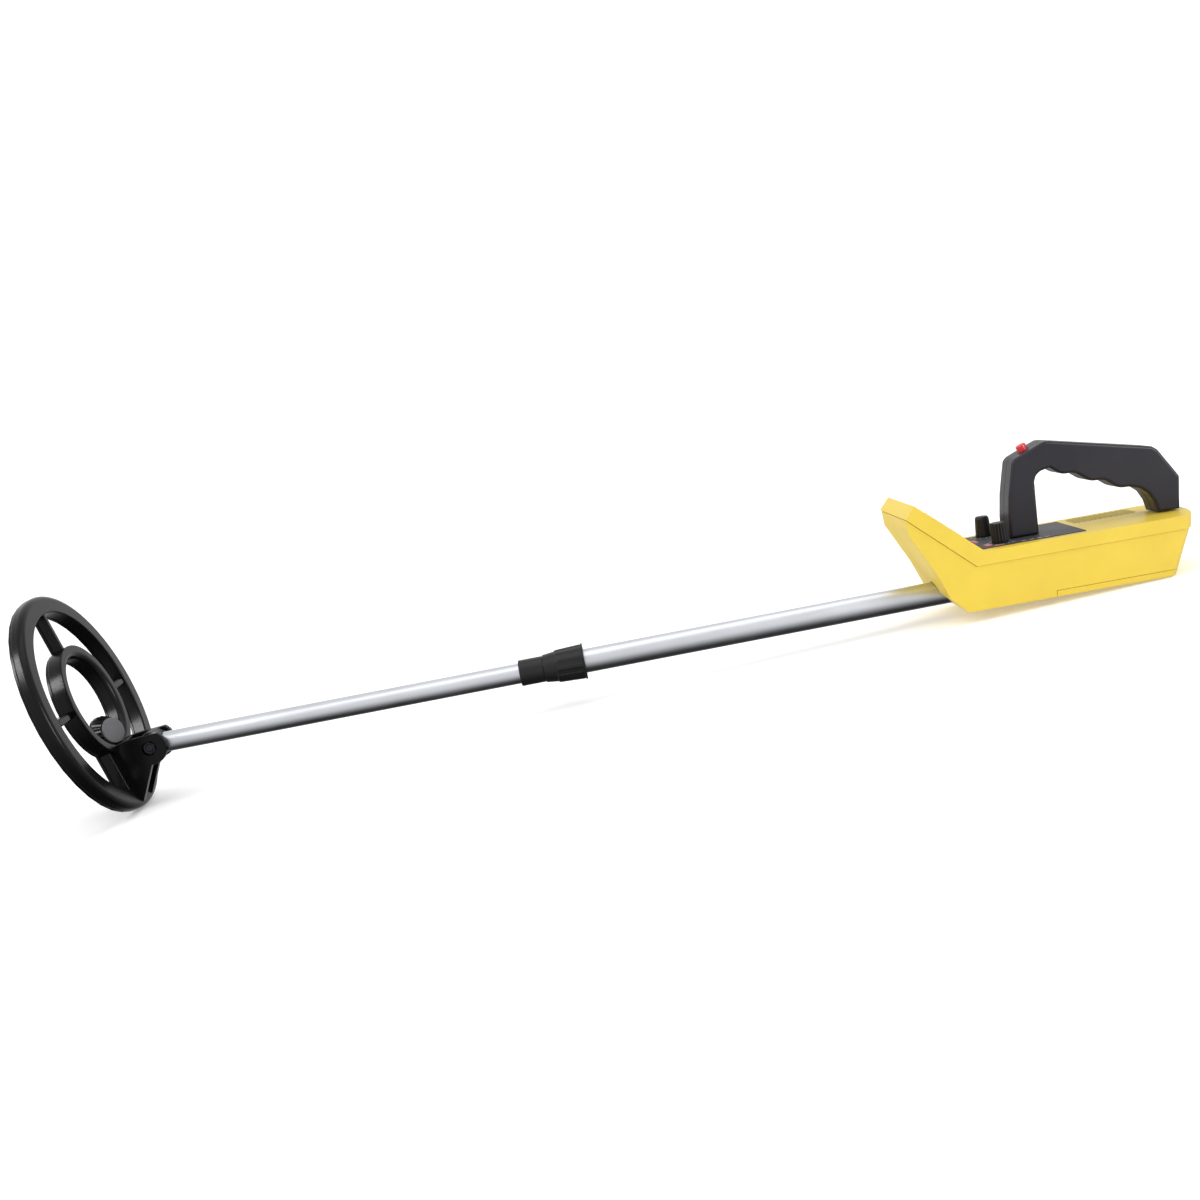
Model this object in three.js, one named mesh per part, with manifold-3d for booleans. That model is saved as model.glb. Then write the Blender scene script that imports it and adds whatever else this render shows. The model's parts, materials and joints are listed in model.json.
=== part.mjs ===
// Hobby metal detector: control housing with handle, telescopic pole with a twist-lock collar,
// and a tilting search coil.  Millimetres.
//
// Housing frame: X runs along the housing deck towards its rear, Z up, Y across.  The origin is
// where the pole enters the front of the housing.  Shaft frame: X runs along the pole from the
// tilt bolt towards the housing.  Coil frame: Z is the coil's upper face direction, X points from
// the coil's centre towards the tilt bolt, and the origin is the centre of the underside.
// The whole detector is pitched so that it lies on the coil's rim and the housing's rear edge.

import * as THREE from 'three';
import { mergeVertices } from 'three/addons/utils/BufferGeometryUtils.js';
import Module from 'manifold-3d';

const wasm = await Module();
wasm.setup();

// ---- driving dimensions ---------------------------------------------------------------------

const GAP = 0.3;                    // clearance between pieces that touch
const WALL = 2.5;                   // moulded plastic wall
const ROUND = 36;                   // segments of a large turned piece
const SMALL_ROUND = 16;             // segments of a small turned piece
const OVERCUT = 5;                  // how far a cutting tool runs past the face it opens

// pole, stations measured along the shaft from the tilt bolt
const UPPER_TUBE_RADIUS = 9.5;
const LOWER_TUBE_RADIUS = 8;
const TUBE_WALL = 1;
const HOUSING_STATION = 626;        // where the pole enters the housing
const COLLAR_START = 293.2;
const COLLAR_JOINT = 312.4;
const COLLAR_END = 345.3;
const UPPER_TUBE_START = 322;
const UPPER_TUBE_END = 662;
const LOWER_TUBE_START = 9.2;
const LOWER_TUBE_END = 382;
const SHAFT_DROOP = 0.0122;         // radians the pole falls away from the deck direction

// search coil
const COIL_LEAN = THREE.MathUtils.degToRad(75);   // angle between pole and coil plane
const COIL_OUTER = { inside: 76.5, outside: 91.5, height: 12, innerRound: 1.5, outerRound: 8 };
const COIL_INNER = { inside: 37, outside: 46.7, height: 14, innerRound: 7.5, outerRound: 0.8 };
const COVER_THICKNESS = 2;
const SHELL_FLOOR = COVER_THICKNESS + GAP;        // underside of the coil's top shell
const BOLT_OUT = 51.5;               // tilt bolt, from the coil's centre towards the heel
const BOLT_UP = 36.4;               // tilt bolt above the coil's underside
const CHEEK_INSIDE = 8.6;
const CHEEK_OUTSIDE = 14.6;
const CHEEK_RADIUS = 13.6;
const WEB_HALF_WIDTH = 24;
const WEB_HEIGHT = 11;
const GLAND_TILT = THREE.MathUtils.degToRad(27);
const GLAND_PLACE = [27.5, 2.5, 3];
const GLAND_BOSS_RADIUS = 14.2;
const GLAND_FACE = 11.5;            // the boss's end face, along the gland's axis

// housing, side profile in X and Z
const HALF_WIDTH = 42;
const DECK_HEIGHT = 33.3;
const SEAM_HEIGHT = 23;
const BASE_BOTTOM = -11.2;
const REAR_SEAM = 199;              // rear face at the seam, on the centre line
const REAR_BOW = 85;                // plan radius of the rear face
const CORNER_RADIUS = 5;
const SHIELD_TIP = [-16.5, 76.5];
const SHIELD_LIP = [-24.5, 67.5];
const SHIELD_FOLD = [32, DECK_HEIGHT];
const SEAM_FOLD = [24.2, SEAM_HEIGHT];
const REAR_LEAN = 0.42;             // how far the rear face leans per millimetre of height

// battery door
const DOOR_FRONT = 82.5;
const DOOR_LINE = -6.6;
const DOOR_WALL = 2;

// handle, moulded in two halves
const HANDLE_HALF = 13;
const HANDLE_FRONT = 60.6;
const GRIP_PITCH = 21.6;            // finger groove spacing
const GRIP_DEPTH = 1.4;
const GRIP_SLOPE = 0.43;            // fall of the grip's underside towards the rear
const BUTTON_PLACE = [83.2, 98.7];
const BUTTON_SLOPE = Math.atan2(10.1, 25.7);
const BUTTON_RADIUS = 4;

// controls
const KNOB_X = 51.3;
const TUNING_Y = 24.8;             // right-hand control, seen by the person holding it
const SENSITIVITY_Y = -17.7;
const POT_HOLE = 3.7;
const LABEL = { front: 33, rear: 113, halfWidth: 32, thickness: 0.6 };
const LABEL_SEAT = DECK_HEIGHT + 0.1;
const LABEL_TOP = LABEL_SEAT + LABEL.thickness;
const NUT_HEIGHT = 1.6;
const NUT_TOP = LABEL_TOP + GAP + NUT_HEIGHT;
const METER = { along: 31, halfWidth: 22, halfLength: 13 };   // along: down the shield's slope

// fixings and what is inside the housing, in the housing frame
const SCREW_PLACES = [[30, -33], [30, 33], [74, -33], [74, 33]];
const VENT = {
  front: 120, rear: 171, near: 11, far: 37, width: 1.3,
  first: 111.2, pitch: 4.3, count: 17, lean: 0.84, reach: 30,
};
const SCREW_RADIUS = 1.5;
const SCREW_HEAD_RADIUS = 3;
const SCREW_CLEARANCE = 1.8;
const HANDLE_SCREWS = [[75, 48], [170, 70]];
const BOARD = { front: 36, rear: 112, halfWidth: 34, low: 14, high: 15.6 };
const BATTERY = { front: 95, rear: 141, inner: 1, outer: 27.2, low: -6.2, high: 11.2 };
const SPEAKER_PLACE = [145, 14];
const CLAMP = { front: 19, rear: 33, halfWidth: 14, high: 13 };
const WIRE_WAY = { front: 70, rear: 76, halfWidth: 4 };   // from the deck into the front leg

// ---- colours --------------------------------------------------------------------------------

const FINISH = {
  yellow: { color: 0xf8d240, roughness: 0.4, metalness: 0 },
  gripBlack: { color: 0x3c3a40, roughness: 0.5, metalness: 0 },
  coilBlack: { color: 0x202023, roughness: 0.25, metalness: 0 },
  knobBlack: { color: 0x1a1a1c, roughness: 0.5, metalness: 0 },
  labelGrey: { color: 0x4b4b4e, roughness: 0.6, metalness: 0 },
  capGrey: { color: 0x606064, roughness: 0.5, metalness: 0 },
  aluminium: { color: 0xc9ccd2, roughness: 0.35, metalness: 1 },
  steel: { color: 0x9a9da3, roughness: 0.35, metalness: 1 },
  copper: { color: 0xb06a3a, roughness: 0.4, metalness: 1 },
  red: { color: 0xd7323c, roughness: 0.4, metalness: 0 },
  board: { color: 0x1f6a3c, roughness: 0.6, metalness: 0 },
  white: { color: 0xf0f0ea, roughness: 0.6, metalness: 0 },
  glass: { color: 0xdfe8ea, roughness: 0.05, metalness: 0 },
};

// ---- solids ---------------------------------------------------------------------------------

function solid(geometry) {
  const bare = geometry.clone();
  bare.deleteAttribute('normal');
  bare.deleteAttribute('uv');
  const merged = mergeVertices(bare, 1e-4);
  const corners = merged.index.array;
  const triangles = [];
  for (let i = 0; i < corners.length; i += 3) {
    const [a, b, c] = corners.slice(i, i + 3);
    if (a !== b && b !== c && c !== a) triangles.push(a, b, c);
  }
  return new wasm.Manifold(new wasm.Mesh({
    numProp: 3,
    vertProperties: new Float32Array(merged.attributes.position.array),
    triVerts: new Uint32Array(triangles),
  }));
}

function geometryOf(body) {
  const mesh = body.getMesh();
  const geometry = new THREE.BufferGeometry();
  geometry.setAttribute('position', new THREE.BufferAttribute(mesh.vertProperties, 3));
  geometry.setIndex(new THREE.BufferAttribute(mesh.triVerts, 1));
  geometry.computeVertexNormals();
  return geometry;
}

function join(...pieces) {
  return geometryOf(pieces.map(solid).reduce((whole, piece) => whole.add(piece)));
}

function cut(base, ...tools) {
  return geometryOf(tools.map(solid).reduce((whole, tool) => whole.subtract(tool), solid(base)));
}

function common(...pieces) {
  return geometryOf(pieces.map(solid).reduce((whole, piece) => whole.intersect(piece)));
}

function box([xLow, xHigh], [yLow, yHigh], [zLow, zHigh]) {
  const geometry = new THREE.BoxGeometry(xHigh - xLow, yHigh - yLow, zHigh - zLow);
  return geometry.translate((xLow + xHigh) / 2, (yLow + yHigh) / 2, (zLow + zHigh) / 2);
}

function shapeOf(outline) {
  return new THREE.Shape(outline.map(([a, b]) => new THREE.Vector2(a, b)));
}

// an outline in X and Z, made into a slab between two Y planes
function slabAcross(outline, yLow, yHigh) {
  const geometry = new THREE.ExtrudeGeometry(shapeOf(outline), {
    depth: yHigh - yLow, bevelEnabled: false,
  });
  return geometry.rotateX(Math.PI / 2).translate(0, yHigh, 0);
}

// an outline in X and Y, made into a slab between two heights
function slabUp(outline, zLow, zHigh) {
  const geometry = new THREE.ExtrudeGeometry(shapeOf(outline), {
    depth: zHigh - zLow, bevelEnabled: false,
  });
  return geometry.translate(0, 0, zLow);
}

// a profile of [radius, height] points, turned round the Z axis
function turned(profile, segments = ROUND) {
  const points = profile.map(([radius, height]) => new THREE.Vector2(radius, height));
  return new THREE.LatheGeometry(points, segments).rotateX(Math.PI / 2);
}

function rod(radius, low, high, segments = SMALL_ROUND) {
  return turned([[0, low], [radius, low], [radius, high], [0, high]], segments);
}

function pipe(inside, outside, low, high, segments = ROUND) {
  const profile = [[inside, low], [outside, low], [outside, high], [inside, high], [inside, low]];
  return turned(profile, segments);
}

function alongX(geometry) {
  return geometry.rotateY(Math.PI / 2);
}

function alongY(geometry) {
  return geometry.rotateX(-Math.PI / 2);
}

function arc(centre, radius, from, to, steps) {
  const points = [];
  for (let i = 0; i <= steps; i += 1) {
    const angle = from + ((to - from) * i) / steps;
    points.push([centre[0] + radius * Math.cos(angle), centre[1] + radius * Math.sin(angle)]);
  }
  return points;
}

// moves every side of a counter-clockwise outline inwards by one distance, keeping its corners
function inset(outline, distance) {
  return outline.map((point, i) => {
    const before = outline[(i + outline.length - 1) % outline.length];
    const after = outline[(i + 1) % outline.length];
    const first = sideNormal(before, point);
    const second = sideNormal(point, after);
    const spread = 1 + first[0] * second[0] + first[1] * second[1];
    return [0, 1].map((k) => point[k] + (distance * (first[k] + second[k])) / spread);
  });
}

function sideNormal(from, to) {
  const length = Math.hypot(to[0] - from[0], to[1] - from[1]);
  return [-(to[1] - from[1]) / length, (to[0] - from[0]) / length];
}

function piece(name, geometry, finish) {
  const mesh = new THREE.Mesh(geometry, new THREE.MeshStandardMaterial(FINISH[finish]));
  mesh.name = name;
  return mesh;
}

// ---- pole -----------------------------------------------------------------------------------

function makePole() {
  const pole = new THREE.Group();
  const lower = pipe(LOWER_TUBE_RADIUS - TUBE_WALL, LOWER_TUBE_RADIUS,
    LOWER_TUBE_START, LOWER_TUBE_END);
  const upper = pipe(UPPER_TUBE_RADIUS - TUBE_WALL, UPPER_TUBE_RADIUS,
    UPPER_TUBE_START, UPPER_TUBE_END);
  pole.add(piece('lower_tube', alongX(lower), 'aluminium'));
  pole.add(piece('upper_tube', alongX(upper), 'aluminium'));
  pole.add(piece('lower_tube_bush', alongX(makeBush()), 'knobBlack'));
  pole.add(piece('tube_end_lug', makeLug(), 'knobBlack'));
  pole.add(piece('collet_sleeve', alongX(makeCollet()), 'knobBlack'));
  pole.add(piece('lock_collar', alongX(makeLockCollar()), 'knobBlack'));
  pole.add(...makeTiltHardware());
  return pole;
}

// the guide bush plugged into the upper end of the lower tube
function makeBush() {
  const spigot = LOWER_TUBE_RADIUS - TUBE_WALL - GAP;
  const cableBore = 3;
  const shoulder = LOWER_TUBE_END + GAP;
  return turned([
    [cableBore, shoulder - 22], [spigot, shoulder - 22], [spigot, shoulder],
    [LOWER_TUBE_RADIUS + 0.2, shoulder], [LOWER_TUBE_RADIUS + 0.2, shoulder + 6],
    [cableBore, shoulder + 6], [cableBore, shoulder - 22],
  ], SMALL_ROUND);
}

// the lug that hinges between the coil's cheeks, with its spigot inside the lower tube
function makeLug() {
  const halfWidth = 7;
  const eyeRadius = 11;
  const shoulder = LOWER_TUBE_START - GAP;
  const eye = arc([0, 0], eyeRadius, Math.PI * 0.28, Math.PI * 1.72, 18);
  const outline = [[shoulder, -7.8], [shoulder, 7.8], ...eye];
  const spigot = alongX(rod(LOWER_TUBE_RADIUS - TUBE_WALL - GAP, shoulder - 1, shoulder + 28));
  const boltHole = alongY(rod(3.3, -OVERCUT - halfWidth, OVERCUT + halfWidth));
  return cut(join(slabAcross(outline, -halfWidth, halfWidth), spigot), boltHole);
}

// the split collet: a sleeve round the lower tube whose neck is pushed over the upper tube's end
function makeCollet() {
  const bore = LOWER_TUBE_RADIUS + GAP;
  const seat = UPPER_TUBE_START - GAP;
  return turned([
    [bore, COLLAR_START], [9.6, COLLAR_START], [10.3, COLLAR_START + 1],
    [10.3, COLLAR_JOINT], [9.7, COLLAR_JOINT], [9.7, seat - 1.7], [10.9, seat - 1.7],
    [10.9, seat + 16], [UPPER_TUBE_RADIUS + GAP, seat + 16],
    [UPPER_TUBE_RADIUS + GAP, seat], [bore, seat], [bore, COLLAR_START],
  ]);
}

// the flared, ribbed collar that is twisted to grip the lower tube
function makeLockCollar() {
  const front = COLLAR_JOINT + GAP;
  const ribStart = front + 9.6;
  const ribEnd = COLLAR_END - 1.8;
  const ribCount = 12;
  const body = turned([
    [10, front], [10.9, front], [11.3, front + 0.6], [12, ribStart], [12.7, ribStart + 0.5],
    [13.8, COLLAR_END - 1.4], [14.35, COLLAR_END - 1.2], [14.35, COLLAR_END],
    [11.2, COLLAR_END], [11.2, front + 7], [10, front + 7], [10, front],
  ]);
  const ribs = [];
  for (let i = 0; i < ribCount; i += 1) {
    const rib = box([12, 13.95], [-1, 1], [ribStart + 1, ribEnd]);
    ribs.push(rib.rotateZ((i * 2 * Math.PI) / ribCount));
  }
  return join(body, ...ribs);
}

// bolt, nut and rubber washers through the cheeks and the lug
function makeTiltHardware() {
  const headSeat = CHEEK_OUTSIDE - 3.4;
  const tip = headSeat + 2.6;
  const hexagon = 6;
  const bolt = join(rod(2.9, -tip, headSeat, 16), rod(5, headSeat - 0.01, tip, hexagon));
  const nut = cut(rod(5, -tip, -headSeat - GAP, hexagon), rod(3.2, -tip - 1, 0, 16));
  const hardware = [
    piece('tilt_bolt', alongY(bolt), 'steel'),
    piece('tilt_nut', alongY(nut), 'steel'),
  ];
  [-8.3, 7.3].forEach((low, i) => {
    const washer = pipe(3.3, 8.6, low, low + 1, SMALL_ROUND);
    hardware.push(piece(`tilt_washer_${i + 1}`, alongY(washer), 'knobBlack'));
  });
  return hardware;
}

// ---- search coil ----------------------------------------------------------------------------

// a ring section whose two upper edges have their own roundings
function ringSection(ring) {
  const { inside, outside, height, innerRound, outerRound } = ring;
  const steps = (radius) => (radius > 2 ? 4 : 1);
  return [
    [inside, SHELL_FLOOR], [outside - 1, SHELL_FLOOR], [outside, SHELL_FLOOR + 1.4],
    ...arc([outside - outerRound, height - outerRound], outerRound,
      0, Math.PI / 2, steps(outerRound)),
    ...arc([inside + innerRound, height - innerRound], innerRound,
      Math.PI / 2, Math.PI, steps(innerRound)),
    [inside, SHELL_FLOOR],
  ];
}

function windingChannel(ring, margin) {
  return pipe(ring.inside + margin, ring.outside - margin - 1, SHELL_FLOOR - OVERCUT, 8.6);
}

function cheekOutline() {
  const hump = arc([BOLT_OUT, BOLT_UP], CHEEK_RADIUS, -Math.PI * 0.11, Math.PI * 0.72, 10);
  return [[38, 9], [87, 9], [87, 12.5], ...hump, [38.4, 21.5]];
}

function glandAxis(geometry) {
  return geometry.rotateX(GLAND_TILT).translate(...GLAND_PLACE);
}

function makeCoilShell() {
  const rings = [
    turned(ringSection(COIL_OUTER), 48),
    turned(ringSection(COIL_INNER)),
  ];
  const spoke = box([-COIL_OUTER.inside - 2, -COIL_INNER.outside + 2], [-2, 2],
    [SHELL_FLOOR, 10]);
  const ribs = [-1, 1].map((side) => {
    const reach = [COIL_INNER.outside - 2, COIL_OUTER.inside + 2].map((r) => r * side);
    return box([-3, 3], reach.sort((a, b) => a - b), [SHELL_FLOOR, 9.5]);
  });
  const web = box([COIL_INNER.inside + 2, COIL_OUTER.outside - 6],
    [-WEB_HALF_WIDTH, WEB_HALF_WIDTH], [SHELL_FLOOR, WEB_HEIGHT]);
  const cheeks = [-1, 1].map((side) => {
    const [low, high] = [CHEEK_INSIDE * side, CHEEK_OUTSIDE * side].sort((a, b) => a - b);
    return slabAcross(cheekOutline(), low, high);
  });
  const bridge = box([38.4, 42], [-CHEEK_OUTSIDE + 1, CHEEK_OUTSIDE - 1], [9, 21]);
  const bossForm = turned([[0, -8], [GLAND_BOSS_RADIUS, -8], [GLAND_BOSS_RADIUS, 4],
    [10.6, GLAND_FACE], [0, GLAND_FACE]], SMALL_ROUND);
  const boss = common(glandAxis(bossForm), box([0, 60], [-30, 30], [SHELL_FLOOR, 40]));
  const whole = join(...rings, spoke, ...ribs, web, ...cheeks, bridge, boss);
  return cut(whole, windingChannel(COIL_OUTER, 3), windingChannel(COIL_INNER, 2.2),
    glandAxis(rod(5.3, 3, 20)), ...boltPassages());
}

// the bolt hole through both cheeks, with a recess for its head and nut
function boltPassages() {
  const recess = CHEEK_OUTSIDE - 3.7;
  const passages = [
    rod(3.2, -CHEEK_OUTSIDE - 1, CHEEK_OUTSIDE + 1, 16),
    rod(5.8, recess, CHEEK_OUTSIDE + OVERCUT),
    rod(5.8, -CHEEK_OUTSIDE - OVERCUT, -recess),
  ];
  return passages.map((passage) => alongY(passage).translate(BOLT_OUT, 0, BOLT_UP));
}

function makeCoilCover() {
  const flat = (ring) => pipe(ring.inside, ring.outside - 1, 0, COVER_THICKNESS, ROUND);
  const spoke = box([-COIL_OUTER.inside - 2, -COIL_INNER.outside + 2], [-2, 2],
    [0, COVER_THICKNESS]);
  const rib = box([-3, 3], [-COIL_OUTER.inside - 2, COIL_OUTER.inside + 2],
    [0, COVER_THICKNESS]);
  const ribs = cut(rib, rod(COIL_INNER.inside + 1, -1, 3, ROUND));
  const web = box([COIL_INNER.inside + 2, COIL_OUTER.inside + 2],
    [-WEB_HALF_WIDTH, WEB_HALF_WIDTH], [0, COVER_THICKNESS]);
  const pad = rod(GLAND_BOSS_RADIUS - 0.7, 0, COVER_THICKNESS)
    .translate(GLAND_PLACE[0], GLAND_PLACE[1], 0);
  return join(flat(COIL_OUTER), flat(COIL_INNER), spoke, ribs, web, pad);
}

function winding(ring, margin) {
  const low = SHELL_FLOOR + GAP;
  const high = 7;
  const inside = ring.inside + margin;
  const outside = ring.outside - margin - 1;
  return turned([[inside + 1, low], [outside - 1, low], [outside, low + 1], [outside, high - 1],
    [outside - 1, high], [inside + 1, high], [inside, high - 1], [inside, low + 1],
    [inside + 1, low]]);
}

function makeGlandCap() {
  const seat = GLAND_FACE + GAP;
  return glandAxis(turned([[0, 4], [5, 4], [5, seat], [10.2, seat], [10.2, seat + 1.4],
    [9.6, seat + 2], [0, seat + 2]], SMALL_ROUND));
}

function makeCoil() {
  const coil = new THREE.Group();
  coil.add(piece('coil_top_shell', makeCoilShell(), 'coilBlack'));
  coil.add(piece('coil_bottom_cover', makeCoilCover(), 'coilBlack'));
  coil.add(piece('transmit_winding', winding(COIL_OUTER, 5), 'copper'));
  coil.add(piece('receive_winding', winding(COIL_INNER, 3.2), 'copper'));
  coil.add(piece('cable_gland', makeGlandCap(), 'capGrey'));
  const heel = new THREE.Vector3(BOLT_OUT, 0, BOLT_UP);
  coil.rotation.y = COIL_LEAN;
  coil.position.copy(heel.applyEuler(coil.rotation).negate());
  return coil;
}

// ---- housing --------------------------------------------------------------------------------

// plan outline: square front, bowed rear with rounded corners
function planOutline(shrink, rearX) {
  const half = HALF_WIDTH - shrink;
  const rear = rearX - shrink;
  const spread = Math.asin((half - CORNER_RADIUS) / REAR_BOW);
  const bow = arc([rear - REAR_BOW, 0], REAR_BOW, -spread, spread, 10);
  const cornerX = bow[0][0] - CORNER_RADIUS;
  return [
    [SHIELD_LIP[0] - 1 + shrink, -half], [cornerX, -half], ...bow, [cornerX, half],
    [SHIELD_LIP[0] - 1 + shrink, half],
  ];
}

// a plan slab whose rear face leans outwards with height from the seam
function planSlab(shrink, rearX, lean, zLow, zHigh) {
  const geometry = slabUp(planOutline(shrink, rearX), zLow, zHigh);
  const place = geometry.attributes.position;
  for (let i = 0; i < place.count; i += 1) {
    if (place.getX(i) > DOOR_FRONT) {
      place.setX(i, place.getX(i) + (place.getZ(i) - SEAM_HEIGHT) * lean);
    }
  }
  return geometry;
}

// the lid's side profile; drop moves its lower edge down, away from the deck
function lidProfile(drop) {
  const slopeDrop = drop * Math.SQRT1_2;
  return [
    [SHIELD_LIP[0] - slopeDrop, SHIELD_LIP[1] - slopeDrop],
    [SEAM_FOLD[0] - drop * 0.4, SEAM_FOLD[1] - drop],
    [REAR_SEAM + 20, SEAM_HEIGHT - drop],
    [REAR_SEAM + 20, DECK_HEIGHT], SHIELD_FOLD, SHIELD_TIP,
  ];
}

// the base's side profile; rise moves its rim up, into the lid
function baseProfile(rise) {
  const slopeRise = (rise - GAP) * Math.SQRT1_2;
  return [
    [SHIELD_LIP[0] + 0.9 + slopeRise, SHIELD_LIP[1] - 0.82 + slopeRise],
    [-23, 55], [-6.5, 22.5], [1.5, 2], [14, BASE_BOTTOM], [DOOR_FRONT - GAP, BASE_BOTTOM],
    [DOOR_FRONT - GAP, DOOR_LINE + GAP], [REAR_SEAM + 20, DOOR_LINE + GAP],
    [REAR_SEAM + 20, SEAM_HEIGHT + rise - GAP],
    [SEAM_FOLD[0] - GAP * 0.4 + rise * 0.4, SEAM_HEIGHT + rise - GAP],
  ];
}

// turns a piece built round the origin, with Z outwards, onto the shield's front surface
function ontoShield(geometry) {
  const along = new THREE.Vector2(SHIELD_FOLD[0] - SHIELD_TIP[0], SHIELD_FOLD[1] - SHIELD_TIP[1]);
  const angle = Math.atan2(-along.y, along.x);
  along.setLength(METER.along);
  return geometry.rotateY(angle)
    .translate(SHIELD_TIP[0] + along.x, 0, SHIELD_TIP[1] + along.y);
}

// the passage for the button's wires, from the housing into the handle's front leg
function wireWay(low, high) {
  return box([WIRE_WAY.front, WIRE_WAY.rear], [-WIRE_WAY.halfWidth, WIRE_WAY.halfWidth],
    [low, high]);
}

// slanting slots side by side, all trimmed to one rectangle of the deck
function ventSlots() {
  const across = (VENT.near + VENT.far) / 2;
  const height = [DECK_HEIGHT - WALL - 2, DECK_HEIGHT + 2];
  const field = box([VENT.front, VENT.rear], [VENT.near, VENT.far], height);
  const slots = [];
  for (let i = 0; i < VENT.count; i += 1) {
    const slot = box([-VENT.width / 2, VENT.width / 2], [-VENT.reach, VENT.reach], height);
    slots.push(common(slot.rotateZ(-VENT.lean).translate(VENT.first + i * VENT.pitch, across, 0),
      field));
  }
  return slots;
}

function makeLid() {
  const outside = common(slabAcross(lidProfile(0), -HALF_WIDTH, HALF_WIDTH),
    planSlab(0, REAR_SEAM, 0.15, -20, 90));
  const reach = WALL + 2;
  const inside = common(
    slabAcross(inset(lidProfile(reach), WALL), -HALF_WIDTH + WALL, HALF_WIDTH - WALL),
    planSlab(WALL, REAR_SEAM, 0.15, -20, 90));
  const bosses = SCREW_PLACES.map(([x, y]) => rod(3.6, -4, DECK_HEIGHT - 1, 16)
    .translate(x, y, 0));
  const pilots = SCREW_PLACES.map(([x, y]) => rod(SCREW_CLEARANCE, -5, 10, 12)
    .translate(x, y, 0));
  const potHoles = [TUNING_Y, SENSITIVITY_Y].map((y) => rod(POT_HOLE, 20, 40)
    .translate(KNOB_X, y, 0));
  const window = ontoShield(box([-METER.halfLength, METER.halfLength],
    [-METER.halfWidth, METER.halfWidth], [-6, 6]));
  return cut(join(cut(outside, inside), ...bosses), ...pilots, ...potHoles, window, wireWay(20, 40),
    ...ventSlots());
}

function makeBase() {
  const half = HALF_WIDTH - 1;
  const outside = common(slabAcross(baseProfile(0), -half, half),
    planSlab(1, REAR_SEAM, REAR_LEAN, -20, 90));
  const inside = common(
    slabAcross(inset(baseProfile(WALL + 2), WALL), -half + WALL, half - WALL),
    planSlab(1 + WALL, REAR_SEAM, REAR_LEAN, -20, 90));
  const poleHole = alongX(rod(UPPER_TUBE_RADIUS + 0.8, -20, 40));
  const batteryHatch = box([92, 152], [-29.5, 29.5], [-12, 0]);
  const screwHoles = SCREW_PLACES.flatMap(([x, y]) => [
    rod(SCREW_CLEARANCE, -20, 0, 12).translate(x, y, 0),
    rod(SCREW_HEAD_RADIUS + 0.4, -20, BASE_BOTTOM + 1.2).translate(x, y, 0),
  ]);
  return cut(outside, inside, poleHole, batteryHatch, ...screwHoles);
}

// the door slides off rearwards; it is a shallow tray under the battery bay
function makeBatteryDoor() {
  const half = HALF_WIDTH - 1;
  const profile = [[DOOR_FRONT, BASE_BOTTOM], [REAR_SEAM + 20, BASE_BOTTOM],
    [REAR_SEAM + 20, DOOR_LINE], [DOOR_FRONT, DOOR_LINE]];
  const outside = common(slabAcross(profile, -half, half),
    planSlab(1, REAR_SEAM, REAR_LEAN, -20, 90));
  const inside = common(
    slabAcross([[DOOR_FRONT + DOOR_WALL, BASE_BOTTOM + DOOR_WALL],
      [REAR_SEAM + 20, BASE_BOTTOM + DOOR_WALL], [REAR_SEAM + 20, DOOR_LINE + 2],
      [DOOR_FRONT + DOOR_WALL, DOOR_LINE + 2]], -half + DOOR_WALL, half - DOOR_WALL),
    planSlab(1 + DOOR_WALL, REAR_SEAM, REAR_LEAN, -20, 90));
  return cut(outside, inside);
}

function makeLabel() {
  const { front, rear, halfWidth, thickness } = LABEL;
  const plate = box([front, rear], [-halfWidth, halfWidth],
    [LABEL_SEAT, LABEL_SEAT + thickness]);
  const holes = [TUNING_Y, SENSITIVITY_Y].map((y) => rod(POT_HOLE, 30, 40)
    .translate(KNOB_X, y, 0));
  return cut(plate, ...holes, wireWay(20, 40));
}

// ---- controls -------------------------------------------------------------------------------

function makePot() {
  const underDeck = DECK_HEIGHT - WALL - GAP;
  return turned([[0, underDeck - 8], [8, underDeck - 8], [8, underDeck],
    [POT_HOLE - GAP, underDeck], [POT_HOLE - GAP, NUT_TOP + 0.6], [2.9, NUT_TOP + 0.6],
    [2.9, NUT_TOP + 10], [0, NUT_TOP + 10]], SMALL_ROUND);
}

function knobBore() {
  return [rod(3.2, 30, NUT_TOP + 10.5, 16), rod(5.4, 30, NUT_TOP + 1, 16)];
}

function makeSmoothKnob() {
  const low = LABEL_TOP + GAP;
  const body = turned([[0, low], [6.5, low], [6.4, low + 1.5], [5.3, low + 14],
    [4.4, low + 16], [0, low + 16]], SMALL_ROUND);
  return cut(body, ...knobBore());
}

function makeFlutedKnob() {
  const low = LABEL_TOP + GAP;
  const teeth = 16;
  const outline = [];
  for (let i = 0; i < teeth * 2; i += 1) {
    const angle = (i * Math.PI) / teeth;
    const radius = i % 2 ? 5.7 : 6.5;
    outline.push([radius * Math.cos(angle), radius * Math.sin(angle)]);
  }
  return cut(slabUp(outline, low, low + 15.4), ...knobBore());
}

function makeControls() {
  const pieces = [];
  const controls = [
    { use: 'tuning', y: TUNING_Y, knob: makeSmoothKnob() },
    { use: 'sensitivity', y: SENSITIVITY_Y, knob: makeFlutedKnob() },
  ];
  for (const { use, y, knob } of controls) {
    const nut = pipe(POT_HOLE, 5, LABEL_TOP + GAP / 2, NUT_TOP - GAP / 2, 12);
    pieces.push(piece(`${use}_pot`, makePot().translate(KNOB_X, y, 0), 'steel'));
    pieces.push(piece(`${use}_pot_nut`, nut.translate(KNOB_X, y, 0), 'steel'));
    pieces.push(piece(`${use}_knob`, knob.translate(KNOB_X, y, 0), 'knobBlack'));
  }
  return pieces;
}

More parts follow.
